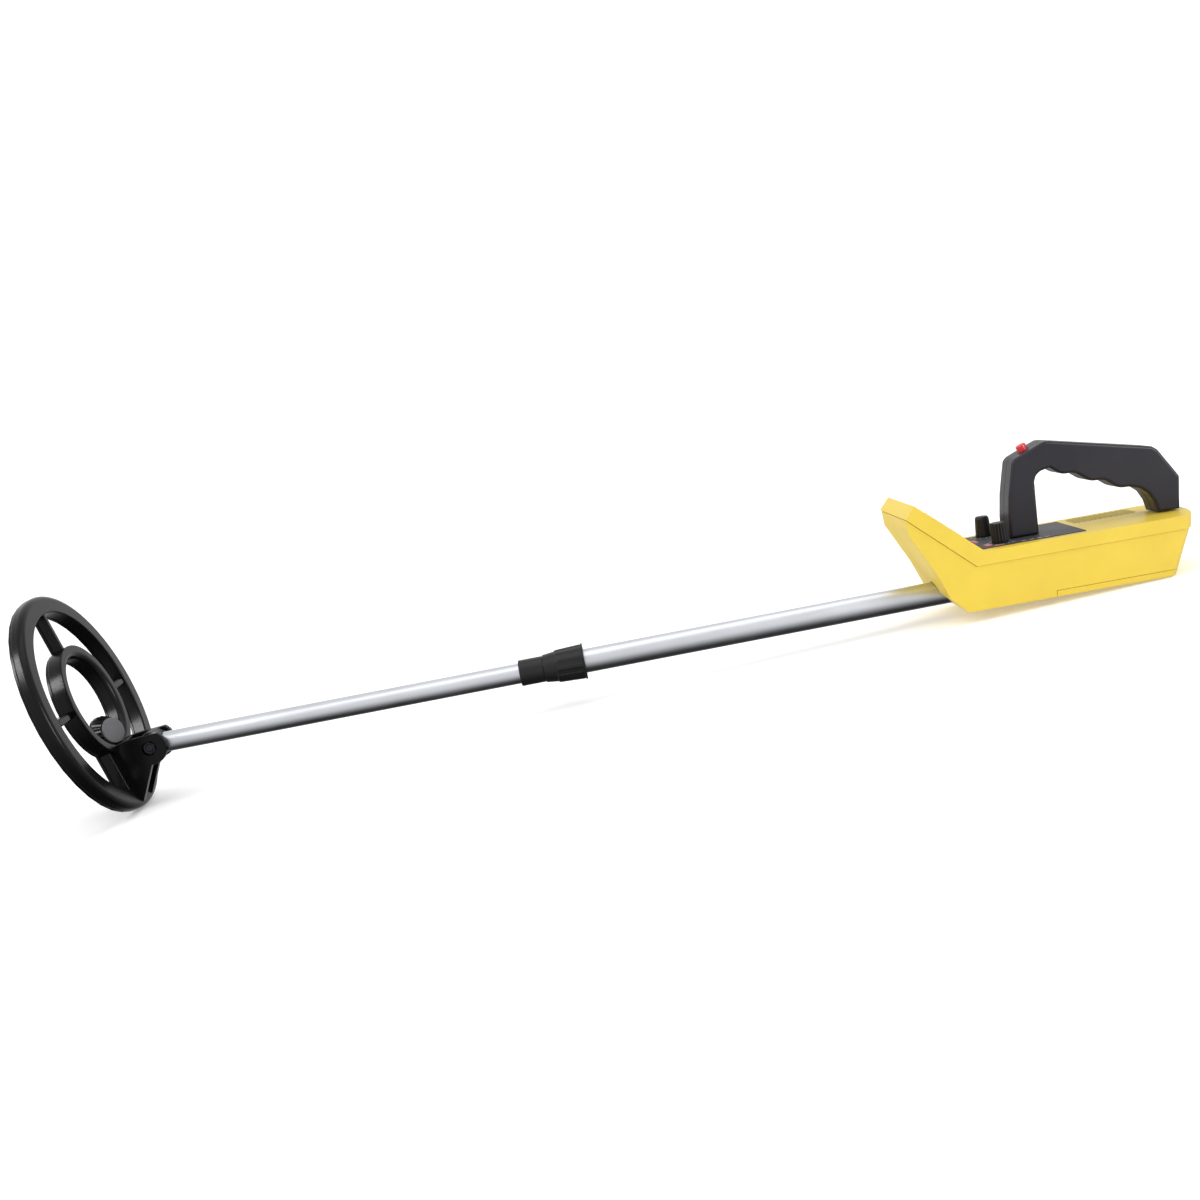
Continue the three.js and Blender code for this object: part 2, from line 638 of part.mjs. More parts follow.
// needle meter set in the sloping shield
function makeMeter() {
  const { halfLength, halfWidth } = METER;
  const frame = cut(
    box([-halfLength - 4, halfLength + 4], [-halfWidth - 5, halfWidth + 5], [GAP, 1.2]),
    box([-halfLength + 1, halfLength - 1], [-halfWidth + 1, halfWidth - 1], [-1, 4]));
  const step = 1 + GAP;
  const glass = join(
    box([-halfLength + GAP, halfLength - GAP], [-halfWidth + GAP, halfWidth - GAP], [-1.6, 0]),
    box([-halfLength + step, halfLength - step], [-halfWidth + step, halfWidth - step],
      [-1, 1.4]));
  const can = cut(
    box([-halfLength - 1, halfLength + 1], [-halfWidth - 2, halfWidth + 2], [-13, -WALL - GAP]),
    box([-halfLength + 1, halfLength - 1], [-halfWidth + 1, halfWidth - 1], [-11.5, 0]));
  const dial = box([-halfLength + 1.4, halfLength - 1.4], [-halfWidth + 1.4, halfWidth - 1.4],
    [-7, -6]);
  const pivot = rod(1.6, -5.6, -4, 12).translate(halfLength - 3, 0, 0);
  const pointer = box([-halfLength + 5, halfLength - 3], [-0.35, 0.35], [-5.2, -4.6]);
  return [
    piece('meter_frame', ontoShield(frame), 'yellow'),
    piece('meter_glass', ontoShield(glass), 'glass'),
    piece('meter_can', ontoShield(can), 'knobBlack'),
    piece('meter_dial', ontoShield(dial), 'white'),
    piece('meter_needle', ontoShield(join(pivot, pointer)), 'red'),
  ];
}

// ---- handle ---------------------------------------------------------------------------------

// underside of the grip: a sloping line with a wave for the finger grooves
function gripUnderside(x) {
  const wave = GRIP_DEPTH * Math.sin((2 * Math.PI * (x - 133.2)) / GRIP_PITCH);
  return 67.3 + (133.2 - x) * GRIP_SLOPE + wave;
}

function handleOutline() {
  const underside = [];
  const steps = 18;
  const [rearX, frontX] = [158, 98];
  for (let i = 0; i <= steps; i += 1) {
    const x = rearX + ((frontX - rearX) * i) / steps;
    underside.push([x, gripUnderside(x)]);
  }
  const foot = LABEL_TOP + GAP;
  return [
    [HANDLE_FRONT, foot], [83.7, foot], [84.6, 60], [85.2, 75], [87, 79.5], [91, 82.2],
    ...underside.reverse(),
    [165.5, 55.4], [171.5, 50.5], [175.5, 43], [177.5, foot], [194.6, foot], [195.6, 46],
    [197, 59.5], [182.5, 82.6], [178.5, 85.8], [101, 103.8], [96.6, 104.4], [92.4, 103],
    [72.6, 95.2], [69.6, 92.4], [64, 68], [61.6, 50],
  ];
}

// one half of the handle; the screws enter the right half and end blind in the left one
function makeHandleHalf(side) {
  const outline = handleOutline();
  const order = (a, b) => a - b;
  const shell = slabAcross(outline, ...[side * GAP / 2, side * HANDLE_HALF].sort(order));
  const cavity = slabAcross(inset(outline, WALL),
    ...[-side, side * (HANDLE_HALF - WALL)].sort(order));
  const buttonHole = ontoButton(rod(BUTTON_RADIUS + GAP, -6, 10));
  const blindEnd = WALL - HANDLE_HALF - 0.5;
  const screwHoles = HANDLE_SCREWS.map(([x, z]) => alongY(rod(SCREW_CLEARANCE, blindEnd, 20, 12))
    .translate(x, 0, z));
  const bosses = HANDLE_SCREWS.map(([x, z]) => alongY(pipe(SCREW_CLEARANCE, 3.6,
    ...[side * GAP / 2, side * (HANDLE_HALF - 1)].sort(order), 16)).translate(x, 0, z));
  const recesses = HANDLE_SCREWS.map(([x, z]) => alongY(rod(SCREW_HEAD_RADIUS + 0.4,
    HANDLE_HALF - 2.2, HANDLE_HALF + 2, 16)).translate(x, 0, z));
  const hollow = cut(shell, cavity, wireWay(DECK_HEIGHT - 5, 40), buttonHole);
  return cut(join(hollow, ...bosses), ...screwHoles, ...recesses);
}

function ontoButton(geometry) {
  return geometry.rotateY(-BUTTON_SLOPE).translate(BUTTON_PLACE[0], 0, BUTTON_PLACE[1]);
}

function makeHandle() {
  const button = turned([[0, -5.5], [BUTTON_RADIUS, -5.5], [BUTTON_RADIUS, 4.8],
    [BUTTON_RADIUS - 0.8, 5.6], [0, 5.8]], SMALL_ROUND);
  const pushSwitch = box([-4.5, 2.5], [-4, 4], [-12.6, -8.2]);
  const pieces = [
    piece('handle_right_half', makeHandleHalf(1), 'gripBlack'),
    piece('handle_left_half', makeHandleHalf(-1), 'gripBlack'),
    piece('red_button', ontoButton(button), 'red'),
    piece('push_switch', ontoButton(pushSwitch), 'knobBlack'),
  ];
  HANDLE_SCREWS.forEach(([x, z], i) => {
    const seat = HANDLE_HALF - 2;
    const screw = turned([[0, -HANDLE_HALF + 4], [SCREW_RADIUS, -HANDLE_HALF + 4],
      [SCREW_RADIUS, seat], [SCREW_HEAD_RADIUS, seat], [SCREW_HEAD_RADIUS, seat + 1.7],
      [0, seat + 1.7]], SMALL_ROUND);
    pieces.push(piece(`handle_screw_${i + 1}`, alongY(screw).translate(x, 0, z), 'steel'));
  });
  return pieces;
}

// ---- inside the housing ---------------------------------------------------------------------

function makeInternals() {
  const board = cut(
    box([BOARD.front, BOARD.rear], [-BOARD.halfWidth, BOARD.halfWidth], [BOARD.low, BOARD.high]),
    ...SCREW_PLACES.map(([x, y]) => rod(4.2, BOARD.low - 4, BOARD.high + 4).translate(x, y, 0)));
  const clamp = cut(
    box([CLAMP.front, CLAMP.rear], [-CLAMP.halfWidth, CLAMP.halfWidth],
      [BASE_BOTTOM + WALL + GAP, CLAMP.high]),
    alongX(rod(UPPER_TUBE_RADIUS + 0.7, CLAMP.front - OVERCUT, CLAMP.rear + OVERCUT)));
  const top = DECK_HEIGHT - WALL - 2 * GAP;
  const speaker = turned([[0, top - 13], [8, top - 13], [8, top - 9], [17, top - 4],
    [18.5, top - 2], [18.5, top], [0, top]], SMALL_ROUND);
  return [
    piece('circuit_board', board, 'board'),
    piece('pole_clamp', clamp, 'knobBlack'),
    piece('speaker', speaker.translate(...SPEAKER_PLACE, 0), 'steel'),
    ...makeBatteries(),
    ...makeHousingScrews(),
  ];
}

// two 9 V batteries side by side behind the door, each with its snap connector
function makeBatteries() {
  return [-1, 1].flatMap((side, i) => {
    const across = [side * BATTERY.inner, side * BATTERY.outer].sort((a, b) => a - b);
    const snapAcross = [across[0] + 3, across[1] - 3];
    const battery = box([BATTERY.front, BATTERY.rear], across, [BATTERY.low, BATTERY.high]);
    const snap = box([BATTERY.rear + 0.4, BATTERY.rear + 4], snapAcross,
      [BATTERY.low + 1.5, BATTERY.high - 1.5]);
    return [
      piece(`battery_${i + 1}`, battery, 'steel'),
      piece(`battery_snap_${i + 1}`, snap, 'knobBlack'),
    ];
  });
}

// the screws that hold the lid down, put in from below
function makeHousingScrews() {
  const low = BASE_BOTTOM + 0.1;
  const headHeight = 0.9;
  const tip = 6;
  return SCREW_PLACES.map(([x, y], i) => {
    const screw = turned([[0, low], [SCREW_HEAD_RADIUS, low],
      [SCREW_HEAD_RADIUS, low + headHeight], [SCREW_RADIUS, low + headHeight],
      [SCREW_RADIUS, tip], [0, tip]], SMALL_ROUND);
    return piece(`housing_screw_${i + 1}`, screw.translate(x, y, 0), 'steel');
  });
}

function makeHousing() {
  const housing = new THREE.Group();
  housing.add(piece('housing_lid', makeLid(), 'yellow'));
  housing.add(piece('housing_base', makeBase(), 'yellow'));
  housing.add(piece('battery_door', makeBatteryDoor(), 'yellow'));
  housing.add(piece('control_label', makeLabel(), 'labelGrey'));
  housing.add(...makeControls(), ...makeMeter(), ...makeHandle(), ...makeInternals());
  return housing;
}

// ---- assembly -------------------------------------------------------------------------------

// the lowest point of an object, in the assembly's own frame
function lowestPoint(object) {
  const lowest = new THREE.Vector3(0, 0, Infinity);
  const point = new THREE.Vector3();
  object.updateWorldMatrix(true, true);
  object.traverse((mesh) => {
    if (!mesh.isMesh) return;
    const place = mesh.geometry.attributes.position;
    for (let i = 0; i < place.count; i += 1) {
      point.fromBufferAttribute(place, i).applyMatrix4(mesh.matrixWorld);
      if (point.z < lowest.z) lowest.copy(point);
    }
  });
  return lowest;
}

const housing = makeHousing();
const coil = makeCoil();
const shaft = new THREE.Group();
shaft.add(makePole(), coil);
shaft.rotation.y = -SHAFT_DROOP;
shaft.position.set(-HOUSING_STATION, 0, -HOUSING_STATION * SHAFT_DROOP);

const group = new THREE.Group();
group.add(housing, shaft);
for (let pass = 0; pass < 4; pass += 1) {
  const front = lowestPoint(coil);
  const rear = lowestPoint(housing);
  group.rotation.y += Math.atan2(rear.z - front.z, rear.x - front.x);
}
group.updateMatrixWorld(true);

const bounds = new THREE.Box3().setFromObject(group, true);
const middle = bounds.getCenter(new THREE.Vector3());
group.position.set(-middle.x, -middle.y, -bounds.min.z);

export default group;
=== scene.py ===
"""The looks of a hobby metal detector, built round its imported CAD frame.

Lengths in the three working frames are millimetres; the matrices below turn them into the CAD
frame's metres.  HOUSING: X runs along the deck to the rear, Z up, origin where the pole enters.
SHAFT: X runs up the pole from the tilt bolt.  COIL: Z is the upper face's direction, X points
from the centre towards the tilt bolt, and the origin is the centre of the underside.
"""

import json
import math

import bmesh
import bpy
from mathutils import Matrix, Vector

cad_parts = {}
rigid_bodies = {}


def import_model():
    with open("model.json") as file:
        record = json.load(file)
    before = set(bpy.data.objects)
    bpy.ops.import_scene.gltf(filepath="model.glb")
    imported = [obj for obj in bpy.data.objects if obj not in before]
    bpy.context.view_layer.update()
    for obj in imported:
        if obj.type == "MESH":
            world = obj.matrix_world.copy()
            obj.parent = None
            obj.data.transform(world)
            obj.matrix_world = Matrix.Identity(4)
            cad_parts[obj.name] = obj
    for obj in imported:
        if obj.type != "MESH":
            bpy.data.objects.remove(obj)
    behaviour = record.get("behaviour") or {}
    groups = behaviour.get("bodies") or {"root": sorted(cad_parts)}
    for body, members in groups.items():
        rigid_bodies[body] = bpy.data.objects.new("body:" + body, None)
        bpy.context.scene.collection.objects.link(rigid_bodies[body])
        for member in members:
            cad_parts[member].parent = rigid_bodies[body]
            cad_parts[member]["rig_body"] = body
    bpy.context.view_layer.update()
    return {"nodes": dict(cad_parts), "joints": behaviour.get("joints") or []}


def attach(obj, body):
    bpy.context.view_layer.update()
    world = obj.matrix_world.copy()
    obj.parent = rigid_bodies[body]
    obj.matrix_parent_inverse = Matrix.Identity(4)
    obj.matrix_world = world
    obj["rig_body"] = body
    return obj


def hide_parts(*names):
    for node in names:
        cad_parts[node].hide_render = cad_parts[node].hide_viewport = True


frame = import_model()

# ---- driving dimensions, as in the CAD, in millimetres -----------------------------------------

MM = 0.001
GAP = 0.3

UPPER_TUBE = {"radius": 9.5, "start": 322, "end": 662}
LOWER_TUBE = {"radius": 8, "start": 9.2, "end": 382}
TUBE_WALL = 1
COLLAR_START = 293.2
COLLAR_JOINT = 312.4
COLLAR_END = 345.3
COLLAR_RIBS = 12
RIB_RELIEF = 0.28

COIL_LEAN = math.radians(75)
OUTER_RING = {"inside": 76.5, "outside": 91.5, "height": 12, "rounds": (1.2, 8)}
INNER_RING = {"inside": 37, "outside": 46.7, "height": 14, "rounds": (7.5, 0.8)}
WEB_HEIGHT = 11
SHELL_FLOOR = 2.3
BOLT_OUT = 51.5
BOLT_UP = 36.4
CHEEK_INSIDE = 8.6
CHEEK_OUTSIDE = 14.6
CHEEK_RADIUS = 13.6
WEB_HALF_WIDTH = 24
GLAND_TILT = math.radians(27)
GLAND_PLACE = (27.5, 2.5, 3)
GLAND_BOSS_RADIUS = 14.2
GLAND_FACE = 11.5
BOLT_RADIUS = 3.2
BOLT_HEAD_RADIUS = 5.8
BOLT_HEAD_RECESS = 3.7

DECK = 33.3
WALL = 2.5
KNOB_X = 51.3
TUNING_Y = 24.8
SENSITIVITY_Y = -17.7
JOINT_HEIGHT = 40
LABEL_TOP = 34
VENT_X = (119, 172)             # the patch of vent slots, a little larger all round
VENT_Y = (10, 38)
KNOB_RADIUS = 6.5
TUNING_KNOB_HEIGHT = 16
SENSITIVITY_KNOB_HEIGHT = 15.4
HANDLE_HALF = 13
HANDLE_ROUND = 2.4
GRIP_FRONT = 98
GRIP_LENGTH = 60
GRIP_MIDDLE = (133.2, 67.3)
GRIP_PITCH = 21.6
GRIP_DEPTH = 1.4
GRIP_SLOPE = 0.43
BUTTON_PLACE = (83.2, 0, 98.7)
BUTTON_SLOPE = math.atan2(10.1, 25.7)
BUTTON_RADIUS = 4
BUTTON_SINK = 5.5
BUTTON_TOP = 5.8
HANDLE_SCREWS = ((75, 48), (170, 70))

# ---- working frames ----------------------------------------------------------------------------

joints = {joint["name"]: joint for joint in frame["joints"]}


def working_frame(x_axis, known_point, known_place):
    """A millimetre frame whose X is x_axis, with known_point of it lying at known_place."""
    x = Vector(x_axis).normalized()
    y = Vector((0, 1, 0))
    turn = Matrix((x, y, x.cross(y))).transposed().to_4x4() @ Matrix.Scale(MM, 4)
    shift = Vector(known_place) - turn @ Vector(known_point)
    return Matrix.Translation(shift) @ turn


def direction(matrix, local):
    return (matrix.to_3x3() @ Vector(local)).normalized()


SHAFT = working_frame(joints["pole_slide"]["axis"], (0, 0, 0), joints["coil_tilt"]["pos_m"])
HOUSING = working_frame(joints["battery_door_slide"]["axis"], (KNOB_X, TUNING_Y, JOINT_HEIGHT),
                        joints["tuning_turn"]["pos_m"])
heel = direction(SHAFT, (math.cos(COIL_LEAN), 0, -math.sin(COIL_LEAN)))
COIL = working_frame(heel, (BOLT_OUT, 0, BOLT_UP), joints["coil_tilt"]["pos_m"])
BUTTON = HOUSING @ Matrix.Translation(BUTTON_PLACE) @ Matrix.Rotation(-BUTTON_SLOPE, 4, "Y")
GLAND = COIL @ Matrix.Translation(GLAND_PLACE) @ Matrix.Rotation(GLAND_TILT, 4, "X")

# ---- materials ---------------------------------------------------------------------------------


class Nodes:
    """Builds one material's nodes with short calls."""

    def __init__(self, name):
        self.material = bpy.data.materials.new(name)
        self.material.use_nodes = True
        self.tree = self.material.node_tree
        self.shader = self.tree.nodes["Principled BSDF"]
        self.place = self.add("ShaderNodeTexCoord").outputs["Object"]

    def add(self, kind, **settings):
        node = self.tree.nodes.new(kind)
        for key, value in settings.items():
            setattr(node, key, value)
        return node

    def link(self, source, target):
        self.tree.links.new(source, target)

    def stretched(self, scale, turn):
        """The object's coordinates, turned and then scaled along each axis."""
        turned = self.add("ShaderNodeMapping", vector_type="POINT")
        turned.inputs["Rotation"].default_value = turn
        self.link(self.place, turned.inputs["Vector"])
        scaled = self.add("ShaderNodeMapping", vector_type="POINT")
        scaled.inputs["Scale"].default_value = scale
        self.link(turned.outputs["Vector"], scaled.inputs["Vector"])
        return scaled.outputs["Vector"]

    def noise(self, scale, detail=3, place=None):
        node = self.add("ShaderNodeTexNoise")
        node.inputs["Scale"].default_value = scale
        node.inputs["Detail"].default_value = detail
        self.link(place or self.place, node.inputs["Vector"])
        return node.outputs["Fac"]

    def spread(self, value, to_low, to_high, low=0.3, high=0.7):
        """Maps value from low..high, by default the usual reach of noise, to to_low..to_high."""
        node = self.add("ShaderNodeMapRange")
        for key, number in (("From Min", low), ("From Max", high),
                            ("To Min", to_low), ("To Max", to_high)):
            node.inputs[key].default_value = number
        self.link(value, node.inputs["Value"])
        return node.outputs["Result"]

    def math(self, operation, first, second):
        node = self.add("ShaderNodeMath", operation=operation)
        for socket, value in zip(node.inputs, (first, second)):
            if isinstance(value, (int, float)):
                socket.default_value = value
            else:
                self.link(value, socket)
        return node.outputs["Value"]

    def mix(self, factor, first, second):
        node = self.add("ShaderNodeMix", data_type="RGBA")
        self.link(factor, node.inputs["Factor"])
        for socket, value in ((node.inputs[6], first), (node.inputs[7], second)):
            if isinstance(value, tuple):
                socket.default_value = (*value, 1)
            else:
                self.link(value, socket)
        return node.outputs[2]

    def bump(self, height, strength, distance):
        node = self.add("ShaderNodeBump")
        node.inputs["Strength"].default_value = strength
        node.inputs["Distance"].default_value = distance
        self.link(height, node.inputs["Height"])
        self.link(node.outputs["Normal"], self.shader.inputs["Normal"])

    def set(self, **sockets):
        for key, value in sockets.items():
            self.shader.inputs[key.replace("_", " ")].default_value = value


def linear(red, green, blue):
    """A colour given as 0 to 255 on a display, as the linear colour a shader takes."""
    return tuple(((value / 255 + 0.055) / 1.055) ** 2.4 for value in (red, green, blue))


def tinted(colour, share):
    return tuple(min(1, value * share) for value in colour)


PAINTED_SHADE_SHARE = 0.22              # brightness left where painted shade darkens the vent slots' walls


def moulded(name, colour, roughness, gloss, grain=900, relief=0.00004, wear=1.6, vary=0.07):
    """Moulded plastic: clouded colour, fine spark-eroded grain and paler rubbed edges.

    Faces flagged with 1 in the shade attribute are darkened: painted shade.
    """
    nodes = Nodes(name)
    cloud = nodes.noise(35, 4)
    base = nodes.mix(nodes.spread(cloud, 0, 1, 0.35, 0.65),
                     tinted(colour, 1 - vary), tinted(colour, 1 + vary))
    edge = nodes.add("ShaderNodeAttribute", attribute_name="wear").outputs["Fac"]
    rubbed = nodes.spread(nodes.noise(160, 5), 0, 0.5, 0.42, 0.62)
    shade = nodes.mix(nodes.math("MULTIPLY", edge, rubbed), base, tinted(colour, wear))
    # Painted shade: the flagged faces, the vent slots' walls, get a darker colour in place of the
    # shadow inside the slots.
    shade_mask = nodes.add("ShaderNodeAttribute", attribute_name="painted_shade").outputs["Fac"]
    nodes.link(nodes.mix(shade_mask, shade, tinted(colour, PAINTED_SHADE_SHARE)),
               nodes.shader.inputs["Base Color"])
    fine = nodes.noise(grain, 2)
    smear = nodes.noise(22, 4)
    rough = nodes.math("ADD", nodes.spread(fine, -0.04, 0.04),
                       nodes.spread(smear, roughness - 0.05, roughness + 0.05))
    nodes.link(rough, nodes.shader.inputs["Roughness"])
    nodes.bump(fine, 0.5, relief)
    nodes.set(Specular_IOR_Level=gloss)
    return nodes.material


def drawn_metal(name, colour, roughness, lines=(60, 3000, 3000), turn=0.0):
    """Metal drawn or brushed along X, with faint lines and cloudy anodising."""
    nodes = Nodes(name)
    along = nodes.stretched(lines, (0, turn, 0))
    grain = nodes.noise(1, 2, along)
    cloud = nodes.noise(18, 4)
    tone = nodes.math("ADD", nodes.spread(grain, 0.0, 0.45), nodes.spread(cloud, 0.0, 0.55))
    nodes.link(nodes.mix(tone, tinted(colour, 0.94), tinted(colour, 1.04)),
               nodes.shader.inputs["Base Color"])
    rough = nodes.math("ADD", nodes.spread(grain, -0.03, 0.03),
                       nodes.spread(cloud, roughness - 0.03, roughness + 0.03))
    nodes.link(rough, nodes.shader.inputs["Roughness"])
    nodes.bump(grain, 0.25, 0.00002)
    nodes.set(Metallic=1.0)
    return nodes.material


def copper_winding(name):
    """Close turns of enamelled wire, seen as fine ridges round the coil."""
    nodes = Nodes(name)
    turns = nodes.noise(2600, 1)
    shade = nodes.mix(nodes.spread(turns, 0, 1, 0.35, 0.65), linear(150, 78, 40),
                      linear(205, 120, 70))
    nodes.link(shade, nodes.shader.inputs["Base Color"])
    nodes.link(nodes.spread(turns, 0.3, 0.45), nodes.shader.inputs["Roughness"])
    nodes.bump(turns, 0.6, 0.0001)
    nodes.set(Metallic=1.0)
    return nodes.material


def clear_plastic(name):
    """The meter's acrylic window, with faint rubbing."""
    nodes = Nodes(name)
    haze = nodes.noise(60, 5)
    nodes.link(nodes.spread(haze, 0.03, 0.12), nodes.shader.inputs["Roughness"])
    nodes.link(nodes.mix(haze, linear(238, 244, 245), linear(250, 252, 252)),
               nodes.shader.inputs["Base Color"])
    nodes.bump(haze, 0.1, 0.00002)
    nodes.set(Transmission_Weight=1.0, IOR=1.49)
    return nodes.material


yellow = moulded("yellow_abs", linear(228, 198, 66), 0.42, 0.35, grain=1400, relief=0.00003,
                 wear=1.08, vary=0.025)
grip_black = moulded("grip_abs", linear(35, 33, 40), 0.38, 0.26, grain=1100, relief=0.00005,
                     wear=1.9)
coil_black = moulded("coil_abs", linear(9, 9, 11), 0.22, 0.15, grain=700, relief=0.00002,
                     wear=2.6)
knob_black = moulded("black_nylon", linear(22, 22, 24), 0.42, 0.28, grain=800, wear=2.6)
collar_black = moulded("collar_nylon", linear(20, 20, 22), 0.36, 0.28, grain=500,
                       relief=0.00008, wear=3.0)
cap_grey = moulded("gland_cap_nylon", linear(92, 92, 95), 0.5, 0.35)
rubber = moulded("moulded_rubber", linear(34, 34, 34), 0.75, 0.25, grain=600, relief=0.0001)
film = moulded("label_film", linear(62, 62, 66), 0.55, 0.3, grain=2200, relief=0.00005)
ink_pink = moulded("pink_ink", linear(196, 112, 118), 0.55, 0.3)
ink_white = moulded("white_ink", linear(214, 214, 212), 0.55, 0.3)
red = moulded("red_abs", linear(214, 46, 58), 0.32, 0.5, wear=1.4)
dial_card = moulded("dial_card", linear(238, 238, 230), 0.7, 0.2)
board_green = moulded("solder_mask", linear(34, 104, 60), 0.35, 0.5, vary=0.18)
battery_jacket = moulded("battery_jacket", linear(52, 52, 58), 0.35, 0.5)
basket_grey = moulded("pressed_basket", linear(56, 56, 58), 0.6, 0.3)
pole_way = direction(SHAFT, (1, 0, 0))
droop = math.atan2(-pole_way.z, pole_way.x)
anodised = drawn_metal("satin_anodised", linear(196, 198, 203), 0.36, turn=-droop)
zinc = drawn_metal("zinc_plate", linear(190, 192, 197), 0.33, lines=(900, 900, 900))
black_zinc = drawn_metal("black_zinc", linear(56, 56, 60), 0.42, lines=(900, 900, 900))
copper = copper_winding("enamelled_copper")
clear = clear_plastic("clear_acrylic")

# ---- mesh helpers ------------------------------------------------------------------------------

SMOOTH_BELOW = math.radians(38)
SHARP_ABOVE = math.radians(25)
FLAT_BELOW = math.radians(0.6)
JOIN_BELOW = 2e-6               # metres
ON_AXIS = 1e-6
NEARLY_STRAIGHT = math.radians(88)
CORNER_SHARE = 0.48             # the most of a side that one rounded corner may take
SHARPEST_INSET = 0.3


def mesh_object(name, points, faces, matrix):
    mesh = bpy.data.meshes.new(name)
    mesh.from_pydata([matrix @ Vector(point) for point in points], [], faces)
    mesh.update()
    made = bpy.data.objects.new(name, mesh)
    bpy.context.scene.collection.objects.link(made)
    tidy_normals(made)
    return made


def tidy_normals(thing):
    shape = bmesh.new()
    shape.from_mesh(thing.data)
    bmesh.ops.recalc_face_normals(shape, faces=shape.faces)
    shape.to_mesh(thing.data)
    shape.free()


def applied(thing):
    """Puts the result of the object's modifiers into its own mesh."""
    graph = bpy.context.evaluated_depsgraph_get()
    result = bpy.data.meshes.new_from_object(thing.evaluated_get(graph))
    thing.modifiers.clear()
    thing.data = result


def combined(whole, tools, operation):
    """whole joined with, or cut by, each tool in turn; the tools are used up."""
    for tool in tools:
        step = whole.modifiers.new("step", "BOOLEAN")
        step.operation = operation
        step.solver = "EXACT"
        step.object = tool
        applied(whole)
        bpy.data.objects.remove(tool)
    return whole


def rounded(points, radius, steps=5, closed=True):
    """A polyline with its corners rounded; radius is one number or one per corner."""
    result = []
    count = len(points)
    for i, corner in enumerate(points):
        here = Vector(corner)
        size = radius if isinstance(radius, (int, float)) else radius[i]
        if size == 0 or (not closed and i in (0, count - 1)):
            result.append(tuple(here))
            continue
        before = Vector(points[i - 1]) - here
        after = Vector(points[(i + 1) % count]) - here
        half = before.angle(after) / 2
        if half > NEARLY_STRAIGHT:
            result.append(tuple(here))
            continue
        reach = min(size / math.tan(half), before.length * CORNER_SHARE,
                    after.length * CORNER_SHARE)
        size = reach * math.tan(half)
        middle = here + (before.normalized() + after.normalized()).normalized() * (
            size / math.sin(half))
        first = here + before.normalized() * reach - middle
        last = here + after.normalized() * reach - middle
        start = math.atan2(first.y, first.x)
        sweep = math.remainder(math.atan2(last.y, last.x) - start, 2 * math.pi)
        for k in range(steps + 1):
            angle = start + sweep * k / steps
            result.append((middle.x + size * math.cos(angle), middle.y + size * math.sin(angle)))
    return result


def stepped(profile, spacing, closed=False, span=math.dist):
    """The profile with further points on its long stretches, for a lathe's radius_at to move.

    span(first, second) is the length of a stretch that spacing divides.
    """
    stations = []
    for first, second in zip(profile, profile[1:] + (profile[:1] if closed else [])):
        steps = int(span(first, second) // spacing)
        for k in range(steps + 1):
            share = k / (steps + 1)
            stations.append(tuple(a + (b - a) * share for a, b in zip(first, second)))
    return stations if closed else stations + [profile[-1]]


def lathe(name, profile, matrix, segments=96, closed=False, radius_at=None):
    """A profile of (radius, height) turned round Z.  radius_at(r, h, angle) may vary it."""
    points = []
    rows = []
    for r, h in profile:
        if r < ON_AXIS:
            rows.append([len(points)] * segments)
            points.append((0, 0, h))
            continue
        rows.append(list(range(len(points), len(points) + segments)))
        for k in range(segments):
            angle = 2 * math.pi * k / segments
            out = radius_at(r, h, angle) if radius_at else r
            points.append((out * math.cos(angle), out * math.sin(angle), h))
    faces = []
    pairs = list(zip(rows, rows[1:])) + ([(rows[-1], rows[0])] if closed else [])
    for low, high in pairs:
        for k in range(segments):
            n = (k + 1) % segments
            corners = [low[k], low[n], high[n], high[k]]
            unique = list(dict.fromkeys(corners))
            if len(unique) > 2:
                faces.append(unique)
    return mesh_object(name, points, faces, matrix)


def inset(outline, distances):
    """Each point of a counter-clockwise outline moved inwards by its own distance."""
    moved = []
    count = len(outline)
    for i, point in enumerate(outline):
        before = Vector(point) - Vector(outline[i - 1])
        after = Vector(outline[(i + 1) % count]) - Vector(point)
        first = Vector((-before.y, before.x)).normalized()
        second = Vector((-after.y, after.x)).normalized()
        spread = max(SHARPEST_INSET, 1 + first.dot(second))
        moved.append(tuple(Vector(point) + (first + second) * (distances[i] / spread)))
    return moved


def rim(face, reach, steps):
    """A quarter round from a slab's side to its face, as (place, depth inwards) pairs.

    reach is the radius, signed for the way from the face back into the slab.
    """
    if reach == 0:
        return [(face, 0.0)]
    angles = [math.pi / 2 * k / steps for k in range(steps + 1)]
    return [(face + reach * (1 - math.sin(angle)), abs(reach) * (1 - math.cos(angle)))
            for angle in angles]


def slab(name, outline, low, high, matrix, low_round=0.0, high_round=0.0, steps=5, flat="Y"):
    """A slab of an outline between two planes, with its two rims rounded over."""
    levels = rim(low, low_round, steps)[::-1] + rim(high, -high_round, steps)
    points = []
    count = len(outline)
    for at, depth in levels:
        for a, b in inset(outline, [depth] * count):
            points.append((a, at, b) if flat == "Y" else (a, b, at))
    faces = []
    for level in range(len(levels) - 1):
        for k in range(count):
            n = (k + 1) % count
            base = level * count
            faces.append([base + k, base + n, base + count + n, base + count + k])
    faces.append(list(range(count)))
    faces.append(list(range(len(points) - count, len(points))))
    return mesh_object(name, points, faces, matrix)


def block(name, low, high, matrix, round_by=0.6):
    """A box with every edge rounded."""
    points = [(x, y, z) for x in (low[0], high[0]) for y in (low[1], high[1])
              for z in (low[2], high[2])]
    faces = [(0, 1, 3, 2), (4, 6, 7, 5), (0, 4, 5, 1), (2, 3, 7, 6), (0, 2, 6, 4), (1, 5, 7, 3)]
    made = mesh_object(name, points, faces, matrix)
    soften(made, round_by)
    return made


